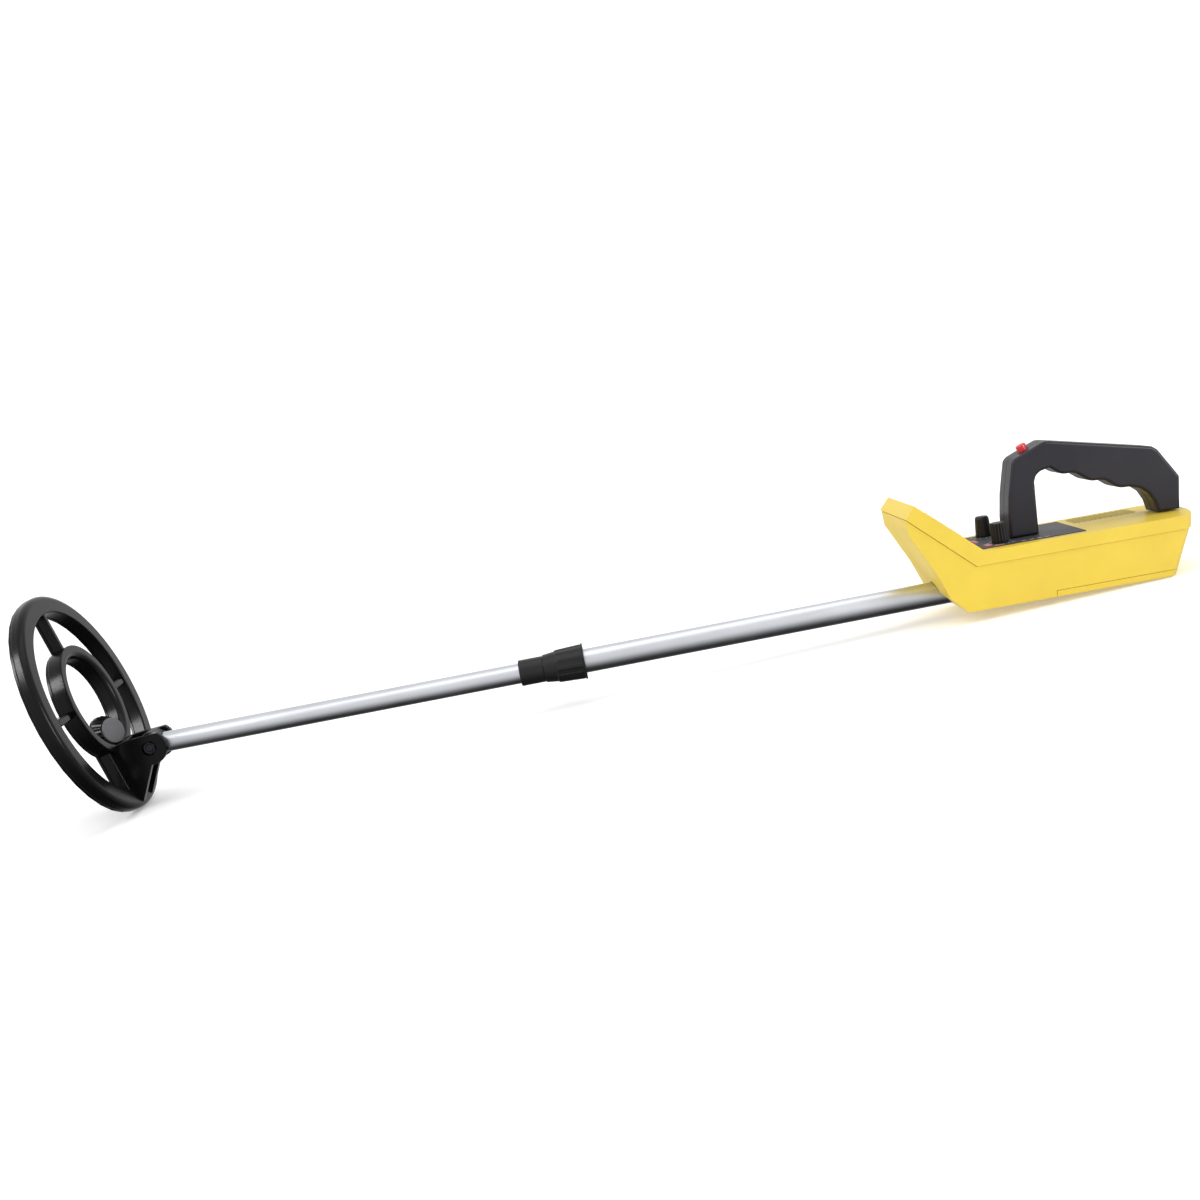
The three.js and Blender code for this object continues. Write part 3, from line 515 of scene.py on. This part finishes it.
def soften(thing, width, weight=None, segments=3):
    """Rounds the sharp edges.  weight(middle) gives each edge's share of the width.

    The middle of each rounded strip gets the attribute wear = 1, for the rubbed edges.
    """
    mesh = thing.data
    mesh.materials.clear()
    for _ in range(2):
        mesh.materials.append(yellow)
    shape = bmesh.new()
    shape.from_mesh(mesh)
    layer = shape.edges.layers.float.new("bevel_weight_edge")
    for edge in shape.edges:
        sharp = len(edge.link_faces) == 2 and edge.calc_face_angle(0) > SHARP_ABOVE
        middle = (edge.verts[0].co + edge.verts[1].co) / 2
        edge[layer] = (weight(middle) if weight else 1.0) if sharp else 0.0
    shape.to_mesh(mesh)
    shape.free()
    bevel = thing.modifiers.new("rounding", "BEVEL")
    bevel.limit_method = "WEIGHT"
    bevel.width = width * MM
    bevel.segments = segments
    bevel.material = 1
    bevel.miter_outer = "MITER_ARC"
    applied(thing)
    mark_wear(thing)


def mark_wear(thing):
    """Sets wear = 1 at the points inside the rounded strips, then makes one material of two."""
    mesh = thing.data
    inside_strip = [True] * len(mesh.vertices)
    for face in mesh.polygons:
        if face.material_index == 0:
            for corner in face.vertices:
                inside_strip[corner] = False
    worn = mesh.attributes.new("wear", "FLOAT", "POINT")
    worn.data.foreach_set("value", [float(value) for value in inside_strip])
    for face in mesh.polygons:
        face.material_index = 0


def finished(thing, material, body, slot, *nodes, weighted=True):
    """Smooths and paints a piece, and puts it on its CAD body in place of nodes."""
    thing.data.materials.clear()
    thing.data.materials.append(material)
    thing.data.shade_smooth()
    thing.data.set_sharp_from_angle(angle=SMOOTH_BELOW)
    if weighted:
        thing.modifiers.new("normals", "WEIGHTED_NORMAL").keep_sharp = True
        applied(thing)
    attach(thing, body)
    if nodes:
        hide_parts(*nodes)
    return thing


def copied(node, whole_faces):
    """A new object with the CAD node's shape; its flat faces can be made whole again."""
    source = frame["nodes"][node]
    mesh = source.data.copy()
    made = bpy.data.objects.new(f"{node}_detailed", mesh)
    bpy.context.scene.collection.objects.link(made)
    shape = bmesh.new()
    shape.from_mesh(mesh)
    bmesh.ops.remove_doubles(shape, verts=shape.verts, dist=JOIN_BELOW)
    bmesh.ops.dissolve_degenerate(shape, edges=shape.edges, dist=JOIN_BELOW)
    if whole_faces:
        bmesh.ops.dissolve_limit(shape, angle_limit=FLAT_BELOW, verts=shape.verts,
                                 edges=shape.edges)
    shape.to_mesh(mesh)
    shape.free()
    for name in ("custom_normal", "sharp_face", "sharp_edge"):
        if name in mesh.attributes:
            mesh.attributes.remove(mesh.attributes[name])
    return made


def refined(node, material, slot, width, weight=None, segments=3, whole_faces=True):
    """The CAD node's shape with rounded edges and its own procedural material.

    whole_faces must be off for a node whose flat faces have many holes.
    """
    made = copied(node, whole_faces)
    soften(made, width, weight, segments)
    return finished(made, material, frame["nodes"][node]["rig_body"], slot, node)


# ---- pole --------------------------------------------------------------------------------------

ALONG = Matrix.Rotation(math.pi / 2, 4, "Y")     # turns a lathe's Z axis onto the shaft's X


def make_tube(name, size, body, node):
    inner = size["radius"] - TUBE_WALL
    profile = rounded([(inner, size["start"]), (size["radius"], size["start"]),
                       (size["radius"], size["end"]), (inner, size["end"])], 0.35, 3)
    tube = lathe(name, profile, SHAFT @ ALONG, 96, closed=True)
    return finished(tube, anodised, body, "tube_aluminium", node)


def make_collet():
    seat = UPPER_TUBE["start"] - GAP
    bore = LOWER_TUBE["radius"] + GAP
    outer_bore = UPPER_TUBE["radius"] + GAP
    profile = rounded([
        (bore, COLLAR_START), (10.3, COLLAR_START), (10.3, COLLAR_JOINT), (9.7, COLLAR_JOINT),
        (9.7, seat - 1.7), (10.9, seat - 1.7), (10.9, seat + 16), (outer_bore, seat + 16),
        (outer_bore, seat), (bore, seat)],
        [0.4, 1.1, 0.3, 0.1, 0, 0, 0.2, 0.2, 0, 0], 4)
    collet = lathe("collet_sleeve_detailed", profile, SHAFT @ ALONG, 96, closed=True)
    finished(collet, collar_black, "control_housing", "black_plastic", "collet_sleeve")


def make_lock_collar():
    front = COLLAR_JOINT + GAP
    rib_start = front + 9.6
    profile = rounded([
        (10, front), (10.9, front), (12.0, rib_start), (12.7, rib_start + 0.6),
        (13.6, COLLAR_END - 1.6), (14.35, COLLAR_END - 1.1), (14.35, COLLAR_END),
        (11.2, COLLAR_END), (11.2, front + 7), (10, front + 7)],
        [0.2, 0.5, 0.3, 0.4, 0.3, 0.3, 0.3, 0.4, 0, 0], 4)
    ribs_from = rib_start + 0.4
    ribs_to = COLLAR_END - 1.3

    def ribbed(r, h, angle):
        on_outside = r > 12.2 and ribs_from < h < ribs_to
        if not on_outside:
            return r
        fade = min(1, (h - ribs_from) / 1.5, ribs_to - h)
        wave = math.cos(angle * COLLAR_RIBS)
        return r + RIB_RELIEF * max(-0.6, min(1, wave * 2.2)) * fade

    collar = lathe("lock_collar_detailed", stepped(profile, 1.2, closed=True), SHAFT @ ALONG,
                   192, closed=True, radius_at=ribbed)
    finished(collar, collar_black, "twist_collar", "black_plastic", "lock_collar")


make_tube("lower_tube_detailed", LOWER_TUBE, "lower_pole", "lower_tube")
make_tube("upper_tube_detailed", UPPER_TUBE, "control_housing", "upper_tube")
make_collet()
make_lock_collar()
refined("tube_end_lug", knob_black, "black_plastic", 0.7)
refined("lower_tube_bush", knob_black, "black_plastic", 0.3)

# ---- search coil -------------------------------------------------------------------------------


def ring(name, size):
    """One of the shell's two hoops, solid, as only its outside shows."""
    inner, outer, height = size["inside"], size["outside"], size["height"]
    inner_round, outer_round = size["rounds"]
    profile = rounded([(inner, SHELL_FLOOR), (outer, SHELL_FLOOR), (outer, height),
                       (inner, height)], [0.3, 1.2, outer_round, inner_round], 9)
    return lathe(name, profile, COIL, 160, closed=True)


def toothed_hump():
    """The cheek's round upper rim, moulded with fine serrations."""
    first, last = -math.pi * 0.11, math.pi * 0.72
    teeth = 22
    pitch = (last - first) / teeth
    tooth = ((0.0, CHEEK_RADIUS), (0.55, CHEEK_RADIUS - 0.15), (0.7, CHEEK_RADIUS - 0.85))
    turns = [(first + (last - first) * i / teeth + pitch * share, radius)
             for i in range(teeth) for share, radius in tooth]
    turns.append((last, CHEEK_RADIUS))
    return [(BOLT_OUT + radius * math.cos(turn), BOLT_UP + radius * math.sin(turn))
            for turn, radius in turns]


def cheek(side):
    """One of the two plates that the tilt bolt passes through."""
    outline = [(38, 9), (87, 9), (87, 12.5), *toothed_hump(), (38.4, 21.5)]
    low, high = sorted((side * CHEEK_INSIDE, side * CHEEK_OUTSIDE))
    return slab("cheek", outline, low, high, COIL, 0.45, 0.45, 3)


def bolt_passages():
    """The bolt's hole through both cheeks, and the recesses for its head and nut."""
    recess = CHEEK_OUTSIDE - BOLT_HEAD_RECESS
    across = COIL @ Matrix.Translation((BOLT_OUT, 0, BOLT_UP)) @ Matrix.Rotation(
        -math.pi / 2, 4, "X")
    return [lathe("hole", [(0, low), (radius, low), (radius, high), (0, high)], across, 40)
            for radius, low, high in ((BOLT_RADIUS, -20, 20), (BOLT_HEAD_RADIUS, recess, 20),
                                      (BOLT_HEAD_RADIUS, -20, -recess))]


def rib_pad(side):
    """The round-ended raised pad on each side rib."""
    half, near, far = 2.3, 54, 74.5
    steps = 12
    ends = []
    for centre, first in ((far - half, 0.0), (near + half, math.pi)):
        for k in range(steps + 1):
            angle = first + math.pi * k / steps
            ends.append((half * math.cos(angle), centre + half * math.sin(angle)))
    if side < 0:
        ends = [(-a, -b) for a, b in ends]
    return slab("pad", ends, 8.5, 10.8, COIL, 0, 0.6, 4, flat="Z")


def gland_boss():
    """The tilted round boss for the cable gland, with gripping flutes on its side."""
    profile = rounded([(0, -6), (GLAND_BOSS_RADIUS, -6), (GLAND_BOSS_RADIUS, 4),
                       (10.6, GLAND_FACE), (0, GLAND_FACE)], [0, 0, 2.5, 0.7, 0], 5, closed=False)

    def gripped(r, h, angle):
        if r < 10.4 or h < 2:
            return r
        return r + 0.22 * math.cos(angle * 20)

    boss = lathe("boss", profile, GLAND, 160, radius_at=gripped)
    below = block("below", (0, -30, -30), (60, 40, SHELL_FLOOR + 0.08), COIL, 0.001)
    return combined(boss, [below], "DIFFERENCE")


def make_coil_shell():
    """The coil's top shell; its parts' floors are staggered so that no two faces coincide."""
    shell = ring("coil_shell_detailed", OUTER_RING)
    inner_out, outer_in = INNER_RING["outside"], OUTER_RING["inside"]
    floor = SHELL_FLOOR + 0.05
    parts = [ring("inner", INNER_RING)]
    parts.append(block("spoke", (-outer_in - 2, -2, floor), (-inner_out + 2, 2, 10), COIL))
    for side in (-1, 1):
        low, high = sorted((side * (inner_out - 2), side * (outer_in + 2)))
        parts.append(block("rib", (-3, low, floor + 0.01), (3, high, 9.5), COIL))
        parts.append(rib_pad(side))
        parts.append(cheek(side))
    parts.append(block("web", (INNER_RING["inside"] + 3, -WEB_HALF_WIDTH, floor + 0.02),
                       (OUTER_RING["outside"] - 6, WEB_HALF_WIDTH, WEB_HEIGHT), COIL, 0.9))
    parts.append(block("bridge", (38.4, -CHEEK_OUTSIDE + 1, 9.03), (42, CHEEK_OUTSIDE - 1, 21),
                       COIL, 0.8))
    parts.append(gland_boss())
    combined(shell, parts, "UNION")
    bore = lathe("bore", [(0, 3), (5.3, 3), (5.3, 20), (0, 20)], GLAND, 40)
    combined(shell, [bore, *bolt_passages()], "DIFFERENCE")
    finished(shell, coil_black, "search_coil", "coil_plastic", "coil_top_shell")


def make_gland_cap():
    face = GLAND_FACE + GAP
    profile = rounded([(0, 4), (5, 4), (5, face), (10.2, face), (10.2, face + 1.8),
                       (0, face + 2)],
                      [0, 0.2, 0.1, 0.3, 0.7, 0], 4, closed=False)
    cap = lathe("cable_gland_detailed", profile, GLAND, 80)
    finished(cap, cap_grey, "search_coil", "grey_plastic", "cable_gland")


def make_winding(node, size, margin):
    """A winding in a ring, set in from its sides by margin, and by 1 mm more on the outside."""
    inside, outside = size["inside"] + margin, size["outside"] - margin - 1
    low, high = SHELL_FLOOR + GAP, 7
    profile = rounded([(inside, low), (outside, low), (outside, high), (inside, high)], 0.9, 4)
    winding = lathe(f"{node}_detailed", profile, COIL, 128, closed=True)
    finished(winding, copper, "search_coil", "copper_wire", node)


make_coil_shell()
make_gland_cap()
refined("coil_bottom_cover", coil_black, "coil_plastic", 0.5)
make_winding("transmit_winding", OUTER_RING, 5)
make_winding("receive_winding", INNER_RING, 3.2)
refined("tilt_bolt", black_zinc, "black_steel", 0.35)
refined("tilt_nut", black_zinc, "black_steel", 0.35)
for number in (1, 2):
    refined(f"tilt_washer_{number}", rubber, "rubber_black", 0.2)

# ---- housing -----------------------------------------------------------------------------------

to_housing = HOUSING.inverted()
LONG_SIDE = 41.5                # |Y| beyond which a point of the lid is on its long sides
REAR_END = 185                  # X beyond which it is on the bowed rear end
SHIELD_TOP = 60                 # Z above which it is on the shield


def in_vents(x, y):
    return VENT_X[0] < x < VENT_X[1] and VENT_Y[0] < y < VENT_Y[1]


def lid_rounding(middle):
    """Large rounding on the lid's outside top edges, small on the seam, none on the vents."""
    x, y, z = to_housing @ middle
    if in_vents(x, y) and z > 28:
        return 0.0
    on_side = abs(y) > LONG_SIDE
    at_rear = x > REAR_END
    on_slope = z > DECK + 0.5 or x < 20
    if on_side and z > 24 and (z > DECK - 0.6 or on_slope):
        above_seam = (x + z) > 55
        return 1.0 if above_seam else 0.15
    if at_rear and z > DECK - 0.6:
        return 0.9
    if at_rear and abs(y) > 30:
        return 0.8
    if z > SHIELD_TOP:
        return 0.45
    return 0.08


def paint_slot_shade(thing):
    """Sets the shade attribute to 1 on the walls of the vent slots, where painted shade darkens
    them.
    """
    painted_shade = thing.data.attributes.new("painted_shade", "FLOAT", "FACE")
    for face in thing.data.polygons:
        x, y, z = to_housing @ face.center
        inside_wall = DECK - WALL + 0.1 < z < DECK - 0.1
        painted_shade.data[face.index].value = float(in_vents(x, y) and inside_wall)


def base_rounding(middle):
    """Large rounding on the base's outside and lower edges, small on the seam and the door."""
    x, y, z = to_housing @ middle
    outside = abs(y) > 40.5 or x > 180
    if outside and z < 22 and not (x > 82 and -7.5 < z < -5.5):
        return 1.0
    if z < -10.5 and 10 < x < 20:
        return 1.0
    return 0.12


lid = refined("housing_lid", yellow, "yellow_plastic", 2.2, lid_rounding, 4, whole_faces=False)
# Painted shade on the walls of the lid's vent slots.
paint_slot_shade(lid)
refined("housing_base", yellow, "yellow_plastic", 2.0, base_rounding, 4)
refined("battery_door", yellow, "yellow_plastic", 0.35)
refined("control_label", film, "label_film", 0.12)
for use in ("tuning", "sensitivity"):
    refined(f"{use}_pot", zinc, "zinc_steel", 0.2)
    refined(f"{use}_pot_nut", zinc, "zinc_steel", 0.25)
refined("meter_frame", yellow, "yellow_plastic", 0.35)
refined("meter_can", knob_black, "black_plastic", 0.4)
refined("meter_glass", clear, "clear_window", 0.25)
refined("meter_dial", dial_card, "dial_card", 0.1)
refined("meter_needle", red, "red_plastic", 0.08)
refined("push_switch", knob_black, "black_plastic", 0.3)
refined("circuit_board", board_green, "board_green", 0.15)
refined("pole_clamp", knob_black, "black_plastic", 0.5)
refined("speaker", basket_grey, "speaker_metal", 0.4)
for number in (1, 2):
    refined(f"battery_{number}", battery_jacket, "battery_case", 1.2)
    refined(f"battery_snap_{number}", knob_black, "black_plastic", 0.4)
    refined(f"handle_screw_{number}", zinc, "zinc_steel", 0.25)
for number in (1, 2, 3, 4):
    refined(f"housing_screw_{number}", zinc, "zinc_steel", 0.2)

# ---- controls ----------------------------------------------------------------------------------


def knob_frame(y):
    return HOUSING @ Matrix.Translation((KNOB_X, y, 0))


def knob_bore(matrix):
    """The tool for a knob's underside: room for the pot's nut, and a hole for its shaft."""
    return lathe("bore", [(0, 30), (5.4, 30), (5.4, 36.9), (3.2, 36.9), (3.2, 46.4), (0, 46.4)],
                 matrix, 40)


def make_tuning_knob():
    low = LABEL_TOP + GAP
    matrix = knob_frame(TUNING_Y)
    top = low + TUNING_KNOB_HEIGHT
    profile = rounded([(0, low), (KNOB_RADIUS, low), (6.4, low + 1.6), (5.45, top - 1.8),
                       (4.6, top), (0, top)], [0, 0.4, 0.8, 0.9, 0.8, 0], 5, closed=False)

    def gripped(r, h, angle):
        if r < 5 or h < low + 2:
            return r
        fade = min(1, (h - low - 2) / 2)
        return r - 0.13 * (1 + math.cos(angle * 24)) / 2 * fade

    def rise(first, second):
        return abs(second[1] - first[1])

    knob = lathe("tuning_knob_detailed", stepped(profile, 1.5, span=rise), matrix, 192,
                 radius_at=gripped)
    combined(knob, [knob_bore(matrix)], "DIFFERENCE")
    finished(knob, knob_black, "tuning_control", "black_plastic", "tuning_knob")


def make_sensitivity_knob():
    low = LABEL_TOP + GAP
    matrix = knob_frame(SENSITIVITY_Y)
    top = low + SENSITIVITY_KNOB_HEIGHT
    profile = rounded([(0, low), (KNOB_RADIUS, low), (6.2, top), (0, top)], [0, 0.3, 0.8, 0], 5,
                      closed=False)

    def fluted(r, h, angle):
        if r < 5:
            return r
        return r - 0.8 * (0.5 - 0.5 * math.cos(angle * 16)) ** 2

    knob = lathe("sensitivity_knob_detailed", stepped(profile, 1.5), matrix, 256,
                 radius_at=fluted)
    combined(knob, [knob_bore(matrix)], "DIFFERENCE")
    finished(knob, knob_black, "sensitivity_control", "black_plastic", "sensitivity_knob")


def make_button():
    profile = rounded([(0, -BUTTON_SINK), (BUTTON_RADIUS, -BUTTON_SINK),
                       (BUTTON_RADIUS, BUTTON_TOP - 0.4), (0, BUTTON_TOP)],
                      [0, 0.3, 1.1, 0], 5, closed=False)
    button = lathe("red_button_detailed", profile, BUTTON, 64)
    finished(button, red, "pinpoint_button", "red_plastic", "red_button")


make_tuning_knob()
make_sensitivity_knob()
make_button()

# ---- handle ------------------------------------------------------------------------------------


def grip_underside(x):
    """The grip's sloping underside with its finger grooves."""
    middle, height = GRIP_MIDDLE
    wave = GRIP_DEPTH * math.sin(2 * math.pi * (x - middle) / GRIP_PITCH)
    return height + (middle - x) * GRIP_SLOPE + wave


def handle_outline():
    """The D handle's outline: front leg inside, grip underside, rear leg, and back over the top."""
    foot = LABEL_TOP + GAP
    stations = range(GRIP_FRONT, GRIP_FRONT + GRIP_LENGTH + 1)
    underside = [(x, grip_underside(x)) for x in stations]
    front = [(60.6, foot), (83.7, foot), (84.6, 60), (85.2, 75), (87, 79.5), (91, 82.2)]
    rear = [(165.5, 55.4), (171.5, 50.5), (175.5, 43), (177.5, foot), (194.6, foot),
            (195.6, 46), (197, 59.5), (182.5, 82.6), (178.5, 85.8), (101, 103.8), (96.6, 104.4),
            (92.4, 103), (72.6, 95.2), (69.6, 92.4), (64, 68), (61.6, 50)]
    front_radii = [0, 0, 20, 6, 6, 6]
    rear_radii = [8, 8, 10, 0, 0, 20, 4, 5, 5, 6, 6, 6, 5, 5, 30, 30]
    radii = front_radii + [0] * len(underside) + rear_radii
    return rounded(front + underside + rear, radii, 4)


def make_handle_half(side, node):
    """One moulded half; only the right one (side 1) has the screws' recesses."""
    low, high = sorted((side * GAP / 2, side * HANDLE_HALF))
    seam, outside = 0.3, HANDLE_ROUND
    rounds = (seam, outside) if side > 0 else (outside, seam)
    half = slab(f"{node}_detailed", handle_outline(), low, high, HOUSING, *rounds, 7)
    tools = [lathe("hole", [(0, -12.8), (BUTTON_RADIUS + GAP, -12.8),
                            (BUTTON_RADIUS + GAP, 10), (0, 10)], BUTTON, 64)]
    across = Matrix.Rotation(-math.pi / 2, 4, "X")
    for x, z in HANDLE_SCREWS:
        place = HOUSING @ Matrix.Translation((x, 0, z)) @ across
        tools.append(lathe("hole", [(0, -10), (1.8, -10), (1.8, 12), (0, 12)], place, 24))
        if side > 0:
            tools.append(lathe("recess", [(0, 10.8), (3.4, 10.8), (3.4, 15), (0, 15)], place, 40))
    tools.append(block("pocket", (-5, -4.5, -13), (3, 4.5, -7.8), BUTTON, 0.1))
    combined(half, tools, "DIFFERENCE")
    finished(half, grip_black, "control_housing", "grip_plastic", node)


make_handle_half(1, "handle_right_half")
make_handle_half(-1, "handle_left_half")

# ---- printed marks -----------------------------------------------------------------------------


INK_THICKNESS = 0.06


def printed(name, rectangles, material, matrix):
    """Thin raised ink: rectangles of (x, y, length, width, turn) on the plane Z = 0."""
    points, faces = [], []
    for x, y, length, width, turn in rectangles:
        start = len(points)
        for z in (0.0, INK_THICKNESS):
            for a, b in ((-1, -1), (1, -1), (1, 1), (-1, 1)):
                u, v = a * length / 2, b * width / 2
                points.append((x + u * math.cos(turn) - v * math.sin(turn),
                               y + u * math.sin(turn) + v * math.cos(turn), z))
        for face in ((3, 2, 1, 0), (4, 5, 6, 7), (0, 1, 5, 4), (1, 2, 6, 5), (2, 3, 7, 6),
                     (3, 0, 4, 7)):
            faces.append([start + corner for corner in face])
    marks = mesh_object(name, points, faces, matrix)
    finished(marks, material, "control_housing", "label_film", weighted=False)


def dial_ticks(centre_y):
    """Eleven ticks round a control, longer at the ends and the middle."""
    ticks = []
    for i in range(11):
        angle = math.radians(-140 + 28 * i)
        length = 2.6 if i in (0, 5, 10) else 1.6
        reach = 9 + length / 2
        ticks.append((KNOB_X - reach * math.cos(angle), centre_y + reach * math.sin(angle),
                      length, 0.5, -angle))
    return ticks


label_plane = HOUSING @ Matrix.Translation((0, 0, LABEL_TOP + 0.02))
white_marks = dial_ticks(TUNING_Y) + dial_ticks(SENSITIVITY_Y)
white_marks += [(66 + 6 * i, -29, 3.2, 0.9, 0) for i in range(4)]
printed("label_white_print", white_marks, ink_white, label_plane)
pink_marks = [(40.5, -20, 5, 9, 0), (38, 6, 3, 14, 0), (47, -28.5, 8, 3, 0)]
printed("label_pink_print", pink_marks, ink_pink, label_plane)

# ---- camera, floor and light -------------------------------------------------------------------

SENSOR = 36
LENS = 41.79
CAMERA_ELEVATION = math.radians(9.07)
CAMERA_ROLL = math.radians(10.9)
CAMERA_DISTANCE = 1096.9
CAMERA_RISE = 44.83
AIM_STATION = 366
FLOOR_HALF = 80                 # metres
FLOOR_DROP = 0.0002
COIL_SPOT = (-0.42, 0, 0.09)    # where the two sheen lamps point
SKY_FALL = {"From Min": -0.9, "From Max": -0.02, "To Min": 0.02, "To Max": 1.06}


def make_camera():
    """Square to the pole from the holder's left, a little from above, and rolled."""
    sine, cosine = math.sin(CAMERA_ELEVATION), math.cos(CAMERA_ELEVATION)
    across = Vector((1, 0, 0))
    upward = Vector((0, sine, cosine))
    forward = Vector((0, cosine, -sine))
    place = Vector((AIM_STATION, 0, 0)) - CAMERA_DISTANCE * forward + CAMERA_RISE * upward
    roll_cos, roll_sin = math.cos(CAMERA_ROLL), math.sin(CAMERA_ROLL)
    right = direction(SHAFT, roll_cos * across - roll_sin * upward)
    up = direction(SHAFT, roll_sin * across + roll_cos * upward)
    back = -direction(SHAFT, forward)
    camera = bpy.data.objects.new("camera", bpy.data.cameras.new("camera"))
    camera.data.sensor_width = SENSOR
    camera.data.lens = LENS
    camera.data.clip_end = 200
    turn = Matrix((right, up, back)).transposed().to_4x4()
    camera.matrix_world = Matrix.Translation(SHAFT @ place) @ turn
    bpy.context.scene.collection.objects.link(camera)
    bpy.context.scene.camera = camera


def make_floor():
    points = [(a * FLOOR_HALF, b * FLOOR_HALF, 0) for a, b in ((-1, -1), (1, -1), (1, 1), (-1, 1))]
    below = Matrix.Translation((0, 0, -FLOOR_DROP))
    floor = mesh_object("floor", points, [(0, 1, 2, 3)], below)
    nodes = Nodes("floor_paper")
    tone = nodes.noise(3, 4)
    nodes.link(nodes.mix(tone, (0.93, 0.93, 0.93), (0.96, 0.96, 0.96)),
               nodes.shader.inputs["Base Color"])
    nodes.set(Roughness=0.9, Specular_IOR_Level=0.0, Emission_Color=(1, 1, 1, 1),
              Emission_Strength=0.22)
    floor.data.materials.append(nodes.material)
    floor.visible_glossy = False


def make_sky():
    """Even white studio light above the horizon, falling to dark below it."""
    world = bpy.data.worlds.new("studio")
    bpy.context.scene.world = world
    world.use_nodes = True
    tree = world.node_tree
    place = tree.nodes.new("ShaderNodeTexCoord")
    parts = tree.nodes.new("ShaderNodeSeparateXYZ")
    tree.links.new(place.outputs["Generated"], parts.inputs["Vector"])
    fall = tree.nodes.new("ShaderNodeMapRange")
    for key, value in SKY_FALL.items():
        fall.inputs[key].default_value = value
    tree.links.new(parts.outputs["Z"], fall.inputs["Value"])
    tree.links.new(fall.outputs["Result"], tree.nodes["Background"].inputs["Strength"])
    tree.nodes["Background"].inputs["Color"].default_value = (1, 1, 1, 1)


def make_lamp(name, place, aim, size, power, diffuse=True):
    """A soft box; with diffuse off it shows only as a reflection."""
    lamp = bpy.data.objects.new(name, bpy.data.lights.new(name, "AREA"))
    lamp.data.shape = "RECTANGLE"
    lamp.data.size, lamp.data.size_y = size
    lamp.data.energy = power
    lamp.location = place
    lamp.rotation_mode = "QUATERNION"
    lamp.rotation_quaternion = (Vector(aim) - Vector(place)).to_track_quat("-Z", "Y")
    lamp.visible_diffuse = diffuse
    bpy.context.scene.collection.objects.link(lamp)


make_camera()
make_floor()
make_sky()
make_lamp("overhead_softbox", (0.1, -0.1, 1.3), (0, 0, 0), (1.6, 0.7), 4)
make_lamp("left_sheen", (-1.13, -0.55, 1.0), COIL_SPOT, (0.5, 0.35), 11, diffuse=False)
make_lamp("right_sheen", (0.95, -0.6, 0.35), COIL_SPOT, (0.3, 0.6), 8, diffuse=False)
bpy.context.scene.view_settings.view_transform = "Standard"
